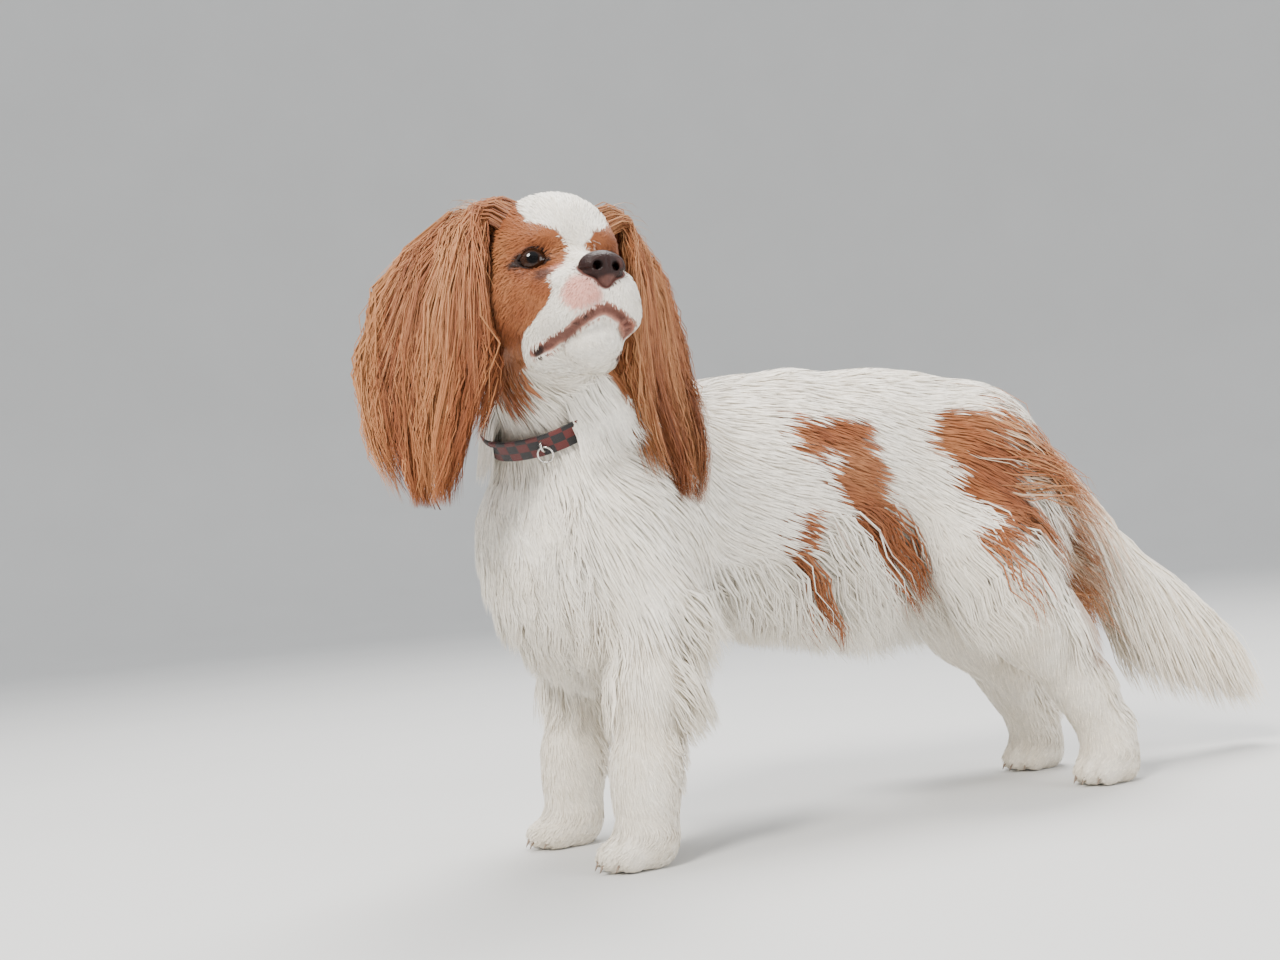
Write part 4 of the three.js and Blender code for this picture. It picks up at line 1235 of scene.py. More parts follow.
def thigh_colour(p, colour):
    """Chestnut hair down the back of the thighs."""
    stripe = 0.8 * noise(p, 9) + 0.5 - np.abs(np.abs(p[..., 0]) - 52) / 16
    amount = ramp(p[..., 2], 60, 110) * ramp(stripe, 0, 0.6)
    return mix(colour, mix(CHESTNUT, FAIR, 0.7), 0.65 * amount)


for side, s in SIDES.items():
    fore_back = (y < 110) & (y > -5) & (z > 48) & (z < 178) & (x * s > 12) & (face_normal[:, 1] > 0.1)
    hanging(
        f"coat_feather_fore_{side}",
        [f"foreleg_{side}"],
        count=1500,
        weight=fore_back * (0.3 + face_normal[:, 1]) * (0.35 + ramp(z, 80, 130)),
        length=between(60, 135, 10, 36),
        pull=[0.0, 0.9, -0.8],
        bend=0.25,
        width=1.2,
        steps=4,
        lift=0.75,
        clear=2.4,
        wave=3.0,
        gather=(11.0, 0.4),
        root_shade=(0.95, 1.04),
    )
    hind_back = (y > 290) & (z > 46) & (z < 236) & (x * s > 6) & (face_normal[:, 1] > 0.15) & ~is_tail
    hanging(
        f"coat_feather_hind_{side}",
        [f"hindleg_{side}"],
        count=1700,
        weight=hind_back * (0.3 + face_normal[:, 1]),
        length=between(70, 170, 14, 44),
        pull=[0.0, 0.42, -1.0],
        bend=0.35,
        width=1.4,
        steps=4,
        lift=0.4,
        clear=2.6,
        wave=2.2,
        gather=(12.0, 0.5),
        root_shade=(0.9, 1.04),
        colour_at=thigh_colour,
    )


# The plume

PLUME_LOW = np.array([[424, 142], [437, 88], [450, 56], [476, 44], [508, 36], [540, 29], [569, 26]], float)
PLUME_HIGH = np.array([[446, 150], [476, 112], [508, 84], [540, 66], [560, 52], [570, 38]], float)
TAIL_AT = np.array([p for p, _ in TAIL], float)


def along(stations, t):
    """A point at t of the way along a list of stations."""
    stations = np.asarray(stations, float)
    u = np.clip(t, 0, 0.9999) * (len(stations) - 1)
    i = u.astype(int)
    return stations[i] + (stations[i + 1] - stations[i]) * (u - i)[:, None]


def curved(root, first, second, tip, steps):
    """Points of cubic curves."""
    t = np.linspace(0, 1, steps + 1)[None, :, None]
    a, b, c, d = (v[:, None] for v in (root, first, second, tip))
    return a * (1 - t) ** 3 + 3 * b * t * (1 - t) ** 2 + 3 * c * t * t * (1 - t) + d * t**3


def plume():
    count = 4300
    t = random.random(count) ** 1.1
    v = random.random(count)
    angle = random.uniform(-np.pi, np.pi, count)
    place = 0.16 + 0.8 * t
    core = along(TAIL_AT, place)
    ahead = along(TAIL_AT, np.minimum(place + 0.1, 0.9999))
    way = unit(ahead - core + np.array([0, 0.001, -0.001]))
    radius = np.interp(place, [0, 0.25, 0.5, 0.75, 1], [radius for _, radius in TAIL]) - 3
    ring = each(np.cos(angle), np.sin(angle) * 0.75, np.sin(angle) * 0.66)
    root = core + ring * radius[:, None]
    low, high = along(PLUME_LOW, t), along(PLUME_HIGH, t)
    end = low + (high - low) * v[:, None]
    swell = np.sin(np.pi * v) * 0.5 + 0.5
    aside = np.cos(angle) * (6 + 9 * swell) + random.normal(0, 1.5, count)
    tip = each(aside, end[:, 0], end[:, 1]) + random.normal(0, 2.5, (count, 3))
    tip = root + (tip - root) * (1.03 - 0.26 * random.random(count) ** 1.6)[:, None]
    reach = np.linalg.norm(tip - root, axis=1)
    first = root + way * reach[:, None] * 0.38 + each(aside * 0.5, 0, 4 * v)
    second = tip + each(0, -0.10 * reach, 0.30 * reach * (0.4 + v))
    path = curved(root, first, second, tip, 5)
    out = np.repeat(unit(each(np.sign(aside + 0.01), 0, 0.35))[:, None], 6, 1)
    phase = noise(root, 15) * 3 + random.normal(0, 0.4, count)
    path = waved(path, 1.6, 60.0, np.tile([0.0, 0.6, 0.8], (count, 1)), phase)
    tint = np.clip(noise(root + v[:, None] * 20, 6) * 0.5 + 0.2, 0, 1)
    colour = mix(mix(WHITE, CREAM, 0.25 + 0.6 * tint), FAIR, 0.25 * tint * (1 - v))
    colour = mix(colour, FAIR, 0.75 * (1 - ramp(t + 0.1 * tint, 0.0, 0.2)) * (angle > -1.0))
    uv = each(0.03 + 0.94 * t, 0.03 + 0.94 * (angle / (2 * np.pi) + 0.5))
    width = 1.5 * random.uniform(0.7, 1.25, count)
    coat("coat_plume", path, out, width, colour, uv, "coat_white", "tail", thick=0.4, root_shade=(0.88, 1.06))


plume()


RUMP_ROOTS = [[20, 292, 262], [22, 330, 232], [16, 356, 200], [12, 372, 168]]
RUMP_TIPS = [[24, 358, 216], [24, 384, 178], [34, 394, 140], [42, 384, 96]]


def rump_locks():
    """Long chestnut hair that falls from the rump over the root of the tail and the left thigh."""
    count = 1300
    t = random.random(count)
    start = along(RUMP_ROOTS, t)
    root = start + each(*(random.normal(0, size, count) for size in (13, 6, 6)))
    root = settled(root, skin_plain, 8, 40)
    end = along(RUMP_TIPS, t)
    aside = (root[:, 0] - start[:, 0]) * 1.1
    tip = end + each(aside, random.normal(0, 6, count), random.normal(0, 7, count))
    tip = root + (tip - root) * random.uniform(0.7, 1.05, count)[:, None]
    _, g = way_out(skin_plain, root)
    reach = np.linalg.norm(tip - root, axis=1)[:, None]
    down = flat(np.tile([0.0, 0.8, -0.75], (count, 1)), g)
    first = root + (down + g * 0.18) * reach * 0.33
    second = tip + np.array([0, -0.12, 0.34]) * reach
    path = curved(root, first, second, tip, 5)
    dist, g2 = way_out(skin_plain, path)
    keep = np.array([-1, 1.5, 3.5, 4, 4, 4.0])
    path = path + g2 * (np.maximum(keep - dist, 0) * (keep > 0))[..., None]
    path = waved(path, 2.4, 55.0, np.tile([0.5, 0.6, 0.5], (count, 1)), noise(root, 12) * 4)
    out = np.repeat(unit(g + np.array([0.4, 0.3, 0.2]))[:, None], 6, 1)
    fair = np.clip(0.35 + 0.5 * noise(root, 8) + 0.35 * t + random.normal(0, 0.1, count), 0, 1)
    colour = mix(mix(CHESTNUT, FAIR, fair), CREAM, 0.5 * ramp(noise(root + 40, 10) + 0.3 * t, 0.35, 0.7))
    uv = each(0.04 + 0.9 * t, 0.04 + 0.9 * random.random(count))
    width = 1.3 * random.uniform(0.7, 1.2, count)
    slot = "coat_chestnut"
    coat("coat_rump_locks", path, out, width, colour, uv, slot, "torso", thick=0.3, root_shade=(0.9, 1.06))


rump_locks()


def collar_frame():
    """The collar's centre, its axis, and the right and front directions across it."""
    way = unit(COLLAR["along"])
    right = unit(np.cross(way, [0, 1, 0]))
    return np.array(COLLAR["at"], float), way, right, np.cross(way, right)


def ruff():
    """Hair that falls over the collar from above, but for a gap at the left of the throat."""
    at, way, right, front = collar_frame()
    count = 2800
    a = random.uniform(-180, 180, count)
    gap = (a > -80) & (a < -14)
    a = np.where(gap, a + 180, a)
    out = np.sin(np.radians(a))[:, None] * right + np.cos(np.radians(a))[:, None] * front
    height = random.uniform(11, 27, count)
    start = at + way * height[:, None] + out * 46
    root = settled(start, skin_plain, 12, 60)
    _, g = way_out(skin_plain, root)
    size = height + random.uniform(18, 34, count)
    down = unit(-way * 0.8 + np.array([0, 0.12, -0.35]) + random.normal(0, 0.08, (count, 3)))
    path, outs = [root - g * 0.8], [g]
    p = root
    for k in range(4):
        p = p + flat(down, g) * size[:, None] / 4
        dist, g = way_out(skin_plain, p)
        over = (8, 11.3, 9.5, 5)[k]
        p = p + g * np.maximum(over - dist, 0)[:, None]
        path.append(p)
        outs.append(g)
    path = waved(np.stack(path, 1), 1.6, 40.0, unit(np.cross(down, out)), noise(root, 14) * 3)
    uv = each(0.04 + 0.92 * (a + 180) / 540, 0.04 + 0.9 * height / 24)
    colour = coat_colour(root, random.normal(0, 1.6, count))
    width = 1.4 * random.uniform(0.7, 1.2, count)
    outs = np.stack(outs, 1)
    coat("coat_ruff", path, outs, width, colour, uv, "coat_white", "neck", thick=0.3, root_shade=(0.9, 1.04))


ruff()

# The ears

# Stations down an ear: forward, left, up and half its width
EAR = [
    [-16, 50, 46, 10],
    [-20, 61, 29, 27],
    [-24, 72, 0, 44],
    [-24, 77, -35, 49],
    [-24, 79, -65, 51],
    [-26, 82, -105, 40],
    [-26, 80, -143, 20],
]
EAR_WIDE = {-1: 1.0, 1: 0.88}
EAR_LOCKS = 11
FACE_OUT = np.array([0.75, 0.66])  # which way an ear's flat side looks: forwards and outwards
CROWN_TOP = 442


def side_name(side):
    return "left" if side > 0 else "right"


def head_way(q):
    """A direction given in the head's coordinates."""
    return unit(on_head(q) - HEAD_CENTRE)


def ear_sides(side):
    """The directions out of an ear's flat side and across it."""
    ahead, aside = FACE_OUT
    return head_way([ahead, side * aside, 0]), head_way([-aside, side * ahead, 0])


def fan(side, t, a, off):
    """A point of the ear's fan: t down it, a across it, off outwards."""
    f, l, u, half = along(EAR, t).T
    b = a * half * EAR_WIDE[side]
    return on_head(each(f - 0.66 * b + 0.75 * off, side * (l + 0.75 * b + 0.66 * off), u))


def ear_flap(side):
    """The leather inside the ear's hair."""
    flap = fuse(
        10,
        lump([-13, side * 44, 36], [15, 9, 8]),
        lump([-20, side * 58, 14], [28, 4, 24], [side * -16, 0, side * -48]),
        lump([-23, side * 71, -24], [32, 4, 28], [side * -6, 0, side * -48]),
    )
    middle = on_head([-20, side * 58, 0])
    points, tris = surface(lambda p: flap(in_head(p)), middle - [50, 50, 72], middle + [50, 50, 68], 2.5)
    q = in_head(points)
    across = (q[:, 1] * side * 0.75 - q[:, 0] * 0.66) / 120
    uv = np.clip(each(across, (q[:, 2] + 70) / 140), 0, 1)
    tone = mix(CHESTNUT, DEEP, np.full(len(q), 0.4))
    piece = mesh_of(f"ear_leather_{side_name(side)}", points, tris, tone, uv)
    finish_piece(piece, SKIN, "coat_chestnut", f"ear_{side_name(side)}")


def lock_of(a):
    """The number of the lock that each hair belongs to, and its middle across the ear."""
    lock = np.floor((a + 1) / 2 * EAR_LOCKS + random.normal(0, 0.22, len(a)))
    return lock, (lock + 0.5) / EAR_LOCKS * 2 - 1


def ear_locks(side, name, path, a, off, lock, start, width, facings):
    """Gives ear hair its waves and colours."""
    n = len(path)
    facing, across = ear_sides(side)
    phase = lock * 2.1 + noise(each(a * 30, off * 3, 0), 12)
    path = waved(path, 4.2, 56.0, np.tile(across, (n, 1)), phase + random.normal(0, 0.2, n))
    path = waved(path, 3.2, 46.0, np.tile(facing, (n, 1)), phase * 1.3 + random.normal(0, 0.2, n))
    own = np.sin(lock * 5.3 + side) * 0.35 + noise(each(a * 40, off * 2, 0), 6) * 0.35
    own = own + random.normal(0, 0.2, n)
    # Painted shade: hair in the inner layers, nearer the flap (off below 0), is darker and hair in the outer
    # layers lighter; the rest of the change from lock to lock is the hair's own colour
    colour = mix(CHESTNUT, FAIR, np.clip(0.14 + own * 0.8 + 0.025 * off, 0, 1))
    colour = mix(colour, DEEP, np.clip(0.24 - own * 0.8 - 0.035 * off, 0, 0.85))
    uv = each(0.02 + 0.46 * np.clip(a + 1, 0, 2) / 2 + 0.5 * (off > 1), 0.02 + 0.94 * start)
    node = f"ear_{side_name(side)}"
    coat(name, path, facings, width, colour, uv, "coat_chestnut", node, thick=0.4, root_shade=(0.86, 1.12))


def ear_hair(side, count=4000, steps=5):
    """The ear's long hair, in locks, in layers on both sides of the flap."""
    a = random.uniform(-0.97, 0.97, count)
    layer = random.random(count)
    start = np.where(layer < 0.75, 0.42 * random.random(count) ** 1.3, 0.2 + 0.4 * random.random(count))
    lock, lock_at = lock_of(a)
    near_lock = 1 - np.abs(a - lock_at) * EAR_LOCKS
    end = 0.99 - 0.16 * a**2 - 0.32 * random.random(count) ** 1.8
    end = end + 0.08 * np.sin(lock * 4.7 + side) + 0.06 * np.clip(near_lock, -1, 1)
    inner = random.random(count) < 0.22
    off = np.where(inner, random.uniform(-10, -5, count), random.uniform(-4, 7, count))
    off_end = off * 1.1 + random.normal(0, 1.2, count)
    sway = 0.05 * np.sin(lock * 3.1 + off * 0.25)
    path = []
    for k in range(steps + 1):
        s = k / steps
        lane = a * (1 - 0.1 * s) + sway * s + (lock_at - a) * 0.8 * s**1.2
        p = fan(side, start + (end - start) * s, lane, off * (1 - s) + off_end * s)
        dist, g = way_out(skin_plain, p)
        path.append(p + g * np.maximum((6 if k else 0) + off * 0.4 - dist, 0)[:, None])
    facing, across = ear_sides(side)
    facings = np.repeat(unit(facing + across * (a * 0.45)[:, None])[:, None], steps + 1, 1)
    width = 1.4 * random.uniform(0.65, 1.25, count)
    ear_locks(side, f"coat_ear_{side_name(side)}", np.stack(path, 1), a, off, lock, start, width, facings)


def crown_seat(side, f, low, high, count):
    """Roots on the side of the crown: between two places outwards and two heights."""
    seat = each(f, side * random.uniform(*low, count), random.uniform(*high, count))
    return settled(on_head(seat), skin_plain, 4, 30)


def crown_hair(side, count=1500):
    """Hair from the side of the crown, which falls over the root of the ear."""
    f = random.uniform(-44, 14, count)
    seat = crown_seat(side, f, (26, 46), (28, 50), count)
    a = np.clip(-0.85 + 1.5 * (12 - f) / 50 + random.normal(0, 0.12, count), -0.95, 0.95)
    lock, lock_at = lock_of(a)
    end = 0.30 + 0.5 * random.random(count) ** 1.2
    off = random.uniform(5, 12, count)
    tip = fan(side, end, a + (lock_at - a) * 0.6, off)
    shoulder = fan(side, 0.1 + 0.1 * random.random(count), a, off + 7)
    lift = head_way([0, side * 0.85, 0.55]) * random.uniform(14, 26, count)[:, None]
    path = curved(seat, seat + lift, shoulder * 1.25 - tip * 0.25, tip, 5)
    facings = np.tile(unit(ear_sides(side)[0] + [0, 0, 0.5]), (count, 6, 1))
    width = 1.25 * random.uniform(0.65, 1.2, count)
    ear_locks(side, f"coat_crown_{side_name(side)}", path, a, off, lock, end * 0.3, width, facings)


def wisps(side, count=340):
    """Fair wisps that stand off the crown and the ear's outer edge."""
    f = random.uniform(-44, 4, count)
    seat = crown_seat(side, f, (34, 48), (34, 50), count)
    ranges = ((-0.7, 0.1, 1), (0.5, 1.0, side), (0.05, 0.7, 1))
    away = head_way(each(*(random.uniform(low, high, count) * sign for low, high, sign in ranges)))
    size = random.uniform(16, 42, count)[:, None]
    droop = np.array([0, 0, -0.4])
    tip = seat + away * size + droop * size
    tip[:, 2] = np.minimum(tip[:, 2], CROWN_TOP)
    path = curved(seat, seat + away * size * 0.45, seat + away * size * 0.85 + droop * size * 0.2, tip, 5)
    colour = mix(FAIR, CREAM, random.uniform(0.0, 0.35, count))
    uv = each(random.random(count) * 0.4 + 0.05, 0.02)
    name = side_name(side)
    facings = np.repeat(away[:, None], 6, 1)
    node = f"ear_{name}"
    coat(f"wisps_{name}", path, facings, 0.8, colour, uv, "coat_chestnut", node, thick=0.25, root_shade=(0.9, 1.1))


for side in (-1, 1):
    ear_flap(side)
    ear_hair(side)
    crown_hair(side)
    wisps(side)

# Eyes

EYE_IN = 0.35  # how far an eyeball keeps within its room
CORNEA = 0.675  # how far the front of an eye stands out
PUPIL = np.array([0.002, 0.0015, 0.0015])
IRIS = np.array([[0.016, 0.006, 0.003], [0.045, 0.016, 0.006]])
EYE_EDGE = np.array([0.004, 0.002, 0.002])
EYE_WHITE = np.array([0.10, 0.06, 0.05])


def turns(count):
    """Even angles around a circle."""
    return np.arange(count) / count * 2 * np.pi


def ring_faces(rows, around, start=0, closed=False):
    """Triangles between rows of points, where each row is a ring."""
    faces = []
    for i in range(rows if closed else rows - 1):
        p, q = start + i * around, start + (i + 1) % rows * around
        for k in range(around):
            m = (k + 1) % around
            faces += [[p + k, q + k, q + m], [p + k, q + m, p + m]]
    return faces


def eye(side, rows=47, around=64):
    centre, across, up, gaze = gaze_frame(side)
    a, b = np.meshgrid(np.linspace(0, np.pi, rows + 2)[1:-1], turns(around), indexing="ij")
    r = EYE_RADIUS - EYE_IN + CORNEA * (1 - ramp(np.degrees(a), 18, 36))
    ball = each(np.sin(a) * np.cos(b), np.sin(a) * np.sin(b), np.cos(a)) * r[..., None]
    front = [[0, 0, EYE_RADIUS - EYE_IN + CORNEA]]
    local = np.concatenate([front, ball.reshape(-1, 3), [[0, 0, -EYE_RADIUS]]])
    local = local @ np.stack([across, up, gaze])
    faces = ring_faces(rows, around, 1)
    back = len(local) - 1
    for j in range(around):
        k = (j + 1) % around
        faces += [[0, 1 + j, 1 + k], [back - around + j, back, back - around + k]]
    faces = np.array(faces)
    if side < 0:
        faces = faces[:, ::-1]
    angle = np.degrees(np.arccos(np.clip(unit(local) @ gaze, -1, 1)))
    spokes = 0.5 + 0.5 * np.sin(np.arctan2(local @ up, local @ across) * 37)
    tone = mix(PUPIL, mix(*IRIS, spokes * 0.6), ramp(angle, 16, 20))
    tone = mix(tone, EYE_EDGE, ramp(angle, 36, 39))
    tone = mix(tone, EYE_WHITE, ramp(angle, 43, 50))
    name = side_name(side)
    thing = mesh_of(f"eyeball_{name}", on_head(local + centre), faces, tone)
    finish_piece(thing, EYE_MATERIAL, "eye", f"eye_{name}")


def eye_material():
    material, tree, base = shader("eye_gloss", 0.08, 0.1)
    toned(tree, base, 0.1, noise_node(tree, 300, 2))
    base.inputs["Coat Weight"].default_value = 1.0
    base.inputs["Coat IOR"].default_value = 1.25
    base.inputs["Coat Roughness"].default_value = 0.02
    return material


EYE_MATERIAL = eye_material()
for side in (-1, 1):
    eye(side)

# Nose leather, with its nostrils


def leather_material():
    material, tree, base = shader("nose_leather", 0.4, 0.16)
    cells = object_texture(tree, "ShaderNodeTexVoronoi", 1100)
    bumped(tree, base, cells.outputs["Distance"], 0.5, 0.0004, invert=True)
    toned(tree, base, 0.25, noise_node(tree, 500, 3))
    return material


nostrils = both(lambda s: limb([99, s * 4.8, -19.5], [84, s * 6.8, -18.5], 3.0, 1.7))
nose = carve(
    1.3,
    nose_plain,
    *nostrils,
    *both(lambda s: limb([96, s * 6.5, -20], [88, s * 11.5, -22], 1.3, 1.0)),
    *both(lambda s: limb([90, s * 11, -21.5], [80, s * 16, -19.5], 1.0, 0.8)),
    limb([96, 0, -10], [92, 0, -40], 0.9, 0.9),
)
NOSE_MIDDLE = on_head([86, 0, -19])
NOSE_TONE = np.array([0.022, 0.010, 0.009])
nose_points, nose_tris = surface(lambda p: nose(in_head(p)), NOSE_MIDDLE - 22, NOSE_MIDDLE + 22, 0.55)
nose_q = in_head(nose_points)
inner = np.minimum.reduce([nostril(nose_q) for nostril in nostrils])
# Painted shade: the leather darkens inside the nostrils
tone = mix(NOSE_TONE, DARK * 0.4, 1 - ramp(inner, -0.2, 1.0))
tone = mix(tone, PINK * 0.35, 0.35 * ramp(noise(nose_points, 9), 0.2, 1.0))
nose_uv = (nose_q[:, 1:] + [20, 40]) / 40
nose_piece = mesh_of("nose_pad", nose_points, nose_tris, tone, nose_uv)
finish_piece(nose_piece, leather_material(), "nose_leather", "nose")


# Tubes, for the claws and the collar's ring and loop


def tube(path, radii, around, closed=False):
    """A closed tube through points, with a radius at each."""
    path = np.asarray(path, float)
    if closed:
        ahead, behind = np.roll(path, -1, 0), np.roll(path, 1, 0)
    else:
        ahead = np.concatenate([path[1:], path[-1:] * 2 - path[-2:-1]])
        behind = np.concatenate([path[:1] * 2 - path[1:2], path[:-1]])
    ways = unit(ahead - behind)
    side = unit(np.cross(ways[0], [0.31, 0.42, 0.85]))
    a = turns(around)[:, None]
    rings = []
    for centre, way, radius in zip(path, ways, radii):
        side = unit(side - way * (side @ way))
        rings.append(centre + (np.cos(a) * side + np.sin(a) * np.cross(way, side)) * radius)
    faces = [face[::-1] for face in ring_faces(len(path), around, closed=closed)]
    if not closed:
        last = (len(path) - 1) * around
        for k in range(1, around - 1):
            faces += [[0, k + 1, k], [last, last + k, last + k + 1]]
    return np.concatenate(rings), np.array(faces)


def together(made):
    """Several point and face arrays as one."""
    points, faces, start = [], [], 0
    for p, f in made:
        points.append(p)
        faces.append(f + start)
        start += len(p)
    return np.concatenate(points), np.concatenate(faces)


def claw_material():
    material, tree, base = shader("claw_horn", 0.35)
    graded(tree, base, noise_node(tree, 260, 3), (0.10, 0.065, 0.045), (0.42, 0.32, 0.24))
    return material


CLAW = claw_material()
CLAW_RADIUS = 1.6
for (px, py), node in zip(PAWS, ("forepaw_left", "forepaw_right", "hindpaw_left", "hindpaw_right")):
    made = []
    for i, across in enumerate(TOES):
        y0 = py - (31 if i in (1, 2) else 23)
        t = np.linspace(0, 1, 7)
        path = each(px + across, y0 + 3 - 6.5 * t, np.maximum(9.5 - 1.5 * t - 6.0 * t**2, CLAW_RADIUS))
        made.append(tube(path, CLAW_RADIUS * (1 - t**1.6) + 0.2, 10))
    piece = mesh_of(f"claws_{node}", *together(made))
    finish_piece(piece, CLAW, "nose_leather", node)

# Collar

STRAP_SEGMENTS = 180
STRAP_SINK = 2.0  # how far the strap presses into the coat
LOOP_TURN = 27 / 32  # where the loop for the ring sits, around from the front
RING_RADIUS = 5.2


def around_collar(turn):
    """The outward directions at turns around the collar."""
    right, front = collar_frame()[2:]
    return np.multiply.outer(np.sin(turn), right) + np.multiply.outer(np.cos(turn), front)


def strap_line():
    """The inside of the strap: the neck's own girth, a little pressed in."""
    at, way = collar_frame()[:2]
    out = around_collar(turns(STRAP_SEGMENTS))
    core = fuse(30, trunk, neck)
    half = COLLAR["width"] / 2
    reach = np.zeros(STRAP_SEGMENTS)
    for shift in (-half, 0, half):
        r = np.full(STRAP_SEGMENTS, 20.0)
        for _ in range(40):
            r -= core(at + out * r[:, None] + way * shift) * 0.7
        reach = np.maximum(reach, r)
    return at + out * (reach - STRAP_SINK)[:, None], out


def strap(points, out):
    """The strap, with rounded edges and a face that stands out a little."""
    way = collar_frame()[1]
    half, thick = COLLAR["width"] / 2, COLLAR["thick"]
    edge = [(0, half), (0.9 * thick, half), (thick, half - 0.5), (thick + 0.12, half - 1.6)]
    section = [(o, -s) for o, s in edge] + edge[::-1]
    rings = np.stack([points + out * o + way * s for o, s in section], 1)
    n = len(section)
    faces, uv = [], []
    for i in range(STRAP_SEGMENTS):
        j = (i + 1) % STRAP_SEGMENTS
        here, there = i / STRAP_SEGMENTS, (i + 1) / STRAP_SEGMENTS
        for k in range(n):
            m = (k + 1) % n
            faces.append([j * n + k, j * n + m, i * n + m, i * n + k])
            sk, sm = (section[v][1] / COLLAR["width"] + 0.5 for v in (k, m))
            uv += [(there, sk), (there, sm), (here, sm), (here, sk)]
    piece = mesh_of("collar_strap", rings.reshape(-1, 3), faces, None, uv, "strap")
    finish_piece(piece, strap_material(), "collar_strap", "collar")


def hoop(centre, normal, radius, wire, count=48):
    """A ring of wire."""
    u = unit(np.cross(normal, [0.2, 0.3, 0.9]))
    v = np.cross(normal, u)
    a = turns(count)[:, None]
    return tube(centre + (np.cos(a) * u + np.sin(a) * v) * radius, np.full(count, wire), 12, closed=True)


def collar():
    way = collar_frame()[1]
    points, out = strap_line()
    strap(points, out)
    face_out = around_collar(2 * np.pi * LOOP_TURN)
    face = points[round(STRAP_SEGMENTS * LOOP_TURN)] + face_out * COLLAR["thick"]
    metal = metal_material()
    loop_piece = mesh_of("collar_loop", *hoop(face, unit(np.cross(face_out, way)), 3.4, 0.8))
    finish_piece(loop_piece, metal, "ring_metal", "collar")
    centre = face + face_out * 1.4 - unit(way - face_out * 0.2) * RING_RADIUS
    ring_piece = mesh_of("collar_tag_ring", *hoop(centre, unit(face_out + way * 0.2), RING_RADIUS, 0.7))
    finish_piece(ring_piece, metal, "ring_metal", "collar_ring")


def strap_texture(tree, kind, scale):
    """A texture on the strap's own map: along it, then across it."""
    where = tree.nodes.new("ShaderNodeUVMap")
    where.uv_map = "strap"
    mapping = tree.nodes.new("ShaderNodeMapping")
    mapping.inputs["Scale"].default_value = (*scale, 1)
    texture = tree.nodes.new(kind)
    texture.inputs["Scale"].default_value = 1
    tree.links.new(where.outputs["UV"], mapping.inputs["Vector"])
    tree.links.new(mapping.outputs["Vector"], texture.inputs["Vector"])
    return texture


def strap_material():
    """A woven strap with a dark red and black check."""
    material, tree, base = shader("strap_weave", 0.75, sheen=0.2)
    checker = strap_texture(tree, "ShaderNodeTexChecker", (46, 2.4))
    checker.inputs["Color1"].default_value = (0.115, 0.012, 0.010, 1)
    checker.inputs["Color2"].default_value = (0.010, 0.009, 0.010, 1)
    tree.links.new(checker.outputs["Color"], base.inputs["Base Color"])
    weave = strap_texture(tree, "ShaderNodeTexWave", (360, 22))
    weave.inputs["Distortion"].default_value = 1.5
    bumped(tree, base, weave.outputs["Fac"], 0.6, 0.0004)
    return material


def metal_material():
    material, tree, base = shader("ring_steel", 0.27)
    rough = tree.nodes.new("ShaderNodeMapRange")
    rough.inputs["To Min"].default_value = 0.18
    rough.inputs["To Max"].default_value = 0.36
    tree.links.new(noise_node(tree, 700, 2).outputs["Fac"], rough.inputs["Value"])
    tree.links.new(rough.outputs["Result"], base.inputs["Roughness"])
    base.inputs["Metallic"].default_value = 1.0
    base.inputs["Base Color"].default_value = (0.62, 0.60, 0.56, 1)
    return material


collar()

# Camera, floor and light


def aimed(name, data, right, up, back, at):
    """A camera or light at a place, with its axes."""
    thing = bpy.data.objects.new(name, data)
    bpy.context.scene.collection.objects.link(thing)
    matrix = np.eye(4)
    matrix[:3] = np.stack([right, up, back, at], 1)
    thing.matrix_world = Matrix(matrix.tolist())
    return thing


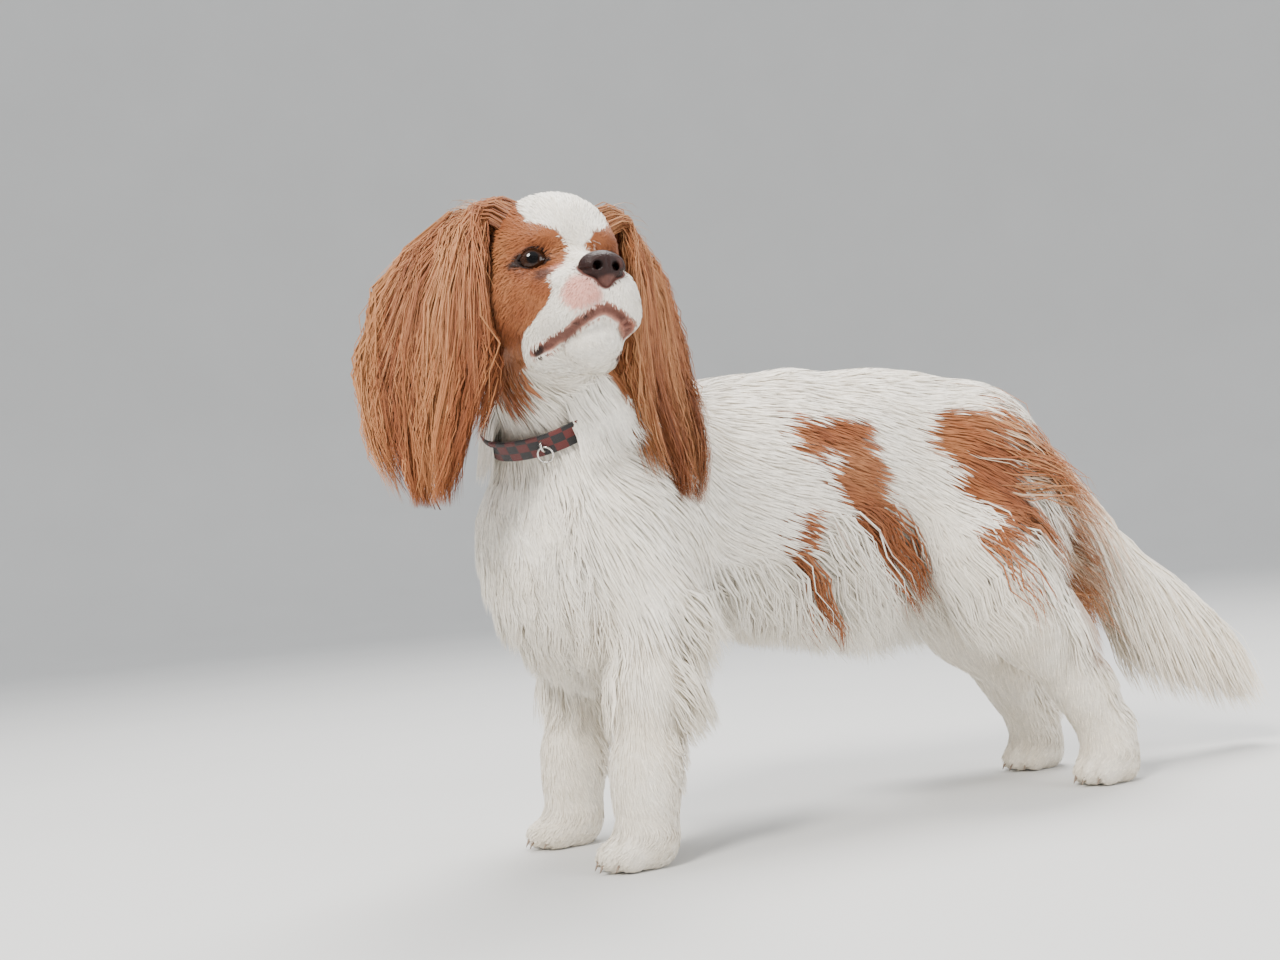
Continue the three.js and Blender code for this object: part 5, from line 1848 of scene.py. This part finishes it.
def camera():
    azimuth, pitch, roll = (math.radians(CAMERA[k]) for k in ("azimuth", "pitch", "roll"))
    away = np.array([-math.sin(azimuth), math.cos(azimuth), 0])
    right = np.array([math.cos(azimuth), math.sin(azimuth), 0])
    ahead, across, over = tipped(away, right, pitch, roll)
    data = bpy.data.cameras.new("camera")
    data.sensor_fit = "HORIZONTAL"
    data.sensor_width = 36
    data.lens = CAMERA["lens"]
    data.clip_start = 0.02
    bpy.context.scene.camera = aimed("camera", data, across, over, -ahead, CAMERA["at"])


# The floor and the sweep behind it, as rings in metres: radius and height
FLOOR_RINGS = [
    (1.5, 0.0),
    (3.0, 0.0),
    (4.5, 0.0),
    (5.1, 0.06),
    (5.7, 0.24),
    (6.2, 0.6),
    (6.5, 1.2),
    (6.6, 2.2),
    (6.6, 5.0),
]


def floor(around=96):
    a = turns(around)
    rings = [each(np.cos(a) * r, np.sin(a) * r, h) for r, h in FLOOR_RINGS]
    points = np.concatenate([[[0, 0, 0]], *rings])
    faces = [[0, 1 + k, 1 + (k + 1) % around] for k in range(around)]
    faces += ring_faces(len(FLOOR_RINGS), around, 1)
    mesh = bpy.data.meshes.new("floor")
    mesh.from_pydata([tuple(v) for v in points], [], faces)
    mesh.polygons.foreach_set("use_smooth", np.ones(len(faces), dtype=bool))
    thing = bpy.data.objects.new("floor", mesh)
    bpy.context.scene.collection.objects.link(thing)
    material, tree, base = shader("floor_pale", 0.9)
    graded(tree, base, noise_node(tree, 3, 2), (0.60, 0.60, 0.59), (0.64, 0.64, 0.63))
    mesh.materials.append(material)


def light(name, at, size, power, colour):
    """A round lamp that shines at the middle of the dog."""
    data = bpy.data.lights.new(name, "AREA")
    data.shape = "DISK"
    data.size = size
    data.energy = power
    data.color = colour
    back = unit(np.array(at, float) - np.array([0, 0, 0.2]))
    right = unit(np.cross([0, 0, 1.0], back))
    aimed(name, data, right, np.cross(back, right), back, at)


camera()
floor()
light("key", (1.3, -1.9, 2.2), 0.8, 125, (1.0, 0.96, 0.90))
light("top", (-0.5, 0.3, 2.6), 1.4, 105, (1.0, 0.98, 0.95))
light("fill", (1.9, 1.4, 0.9), 1.4, 34, (0.97, 0.98, 1.0))
world = bpy.data.worlds.new("world")
world.use_nodes = True
world.node_tree.nodes["Background"].inputs["Color"].default_value = (0.92, 0.95, 1.0, 1)
world.node_tree.nodes["Background"].inputs["Strength"].default_value = 1.15
bpy.context.scene.world = world
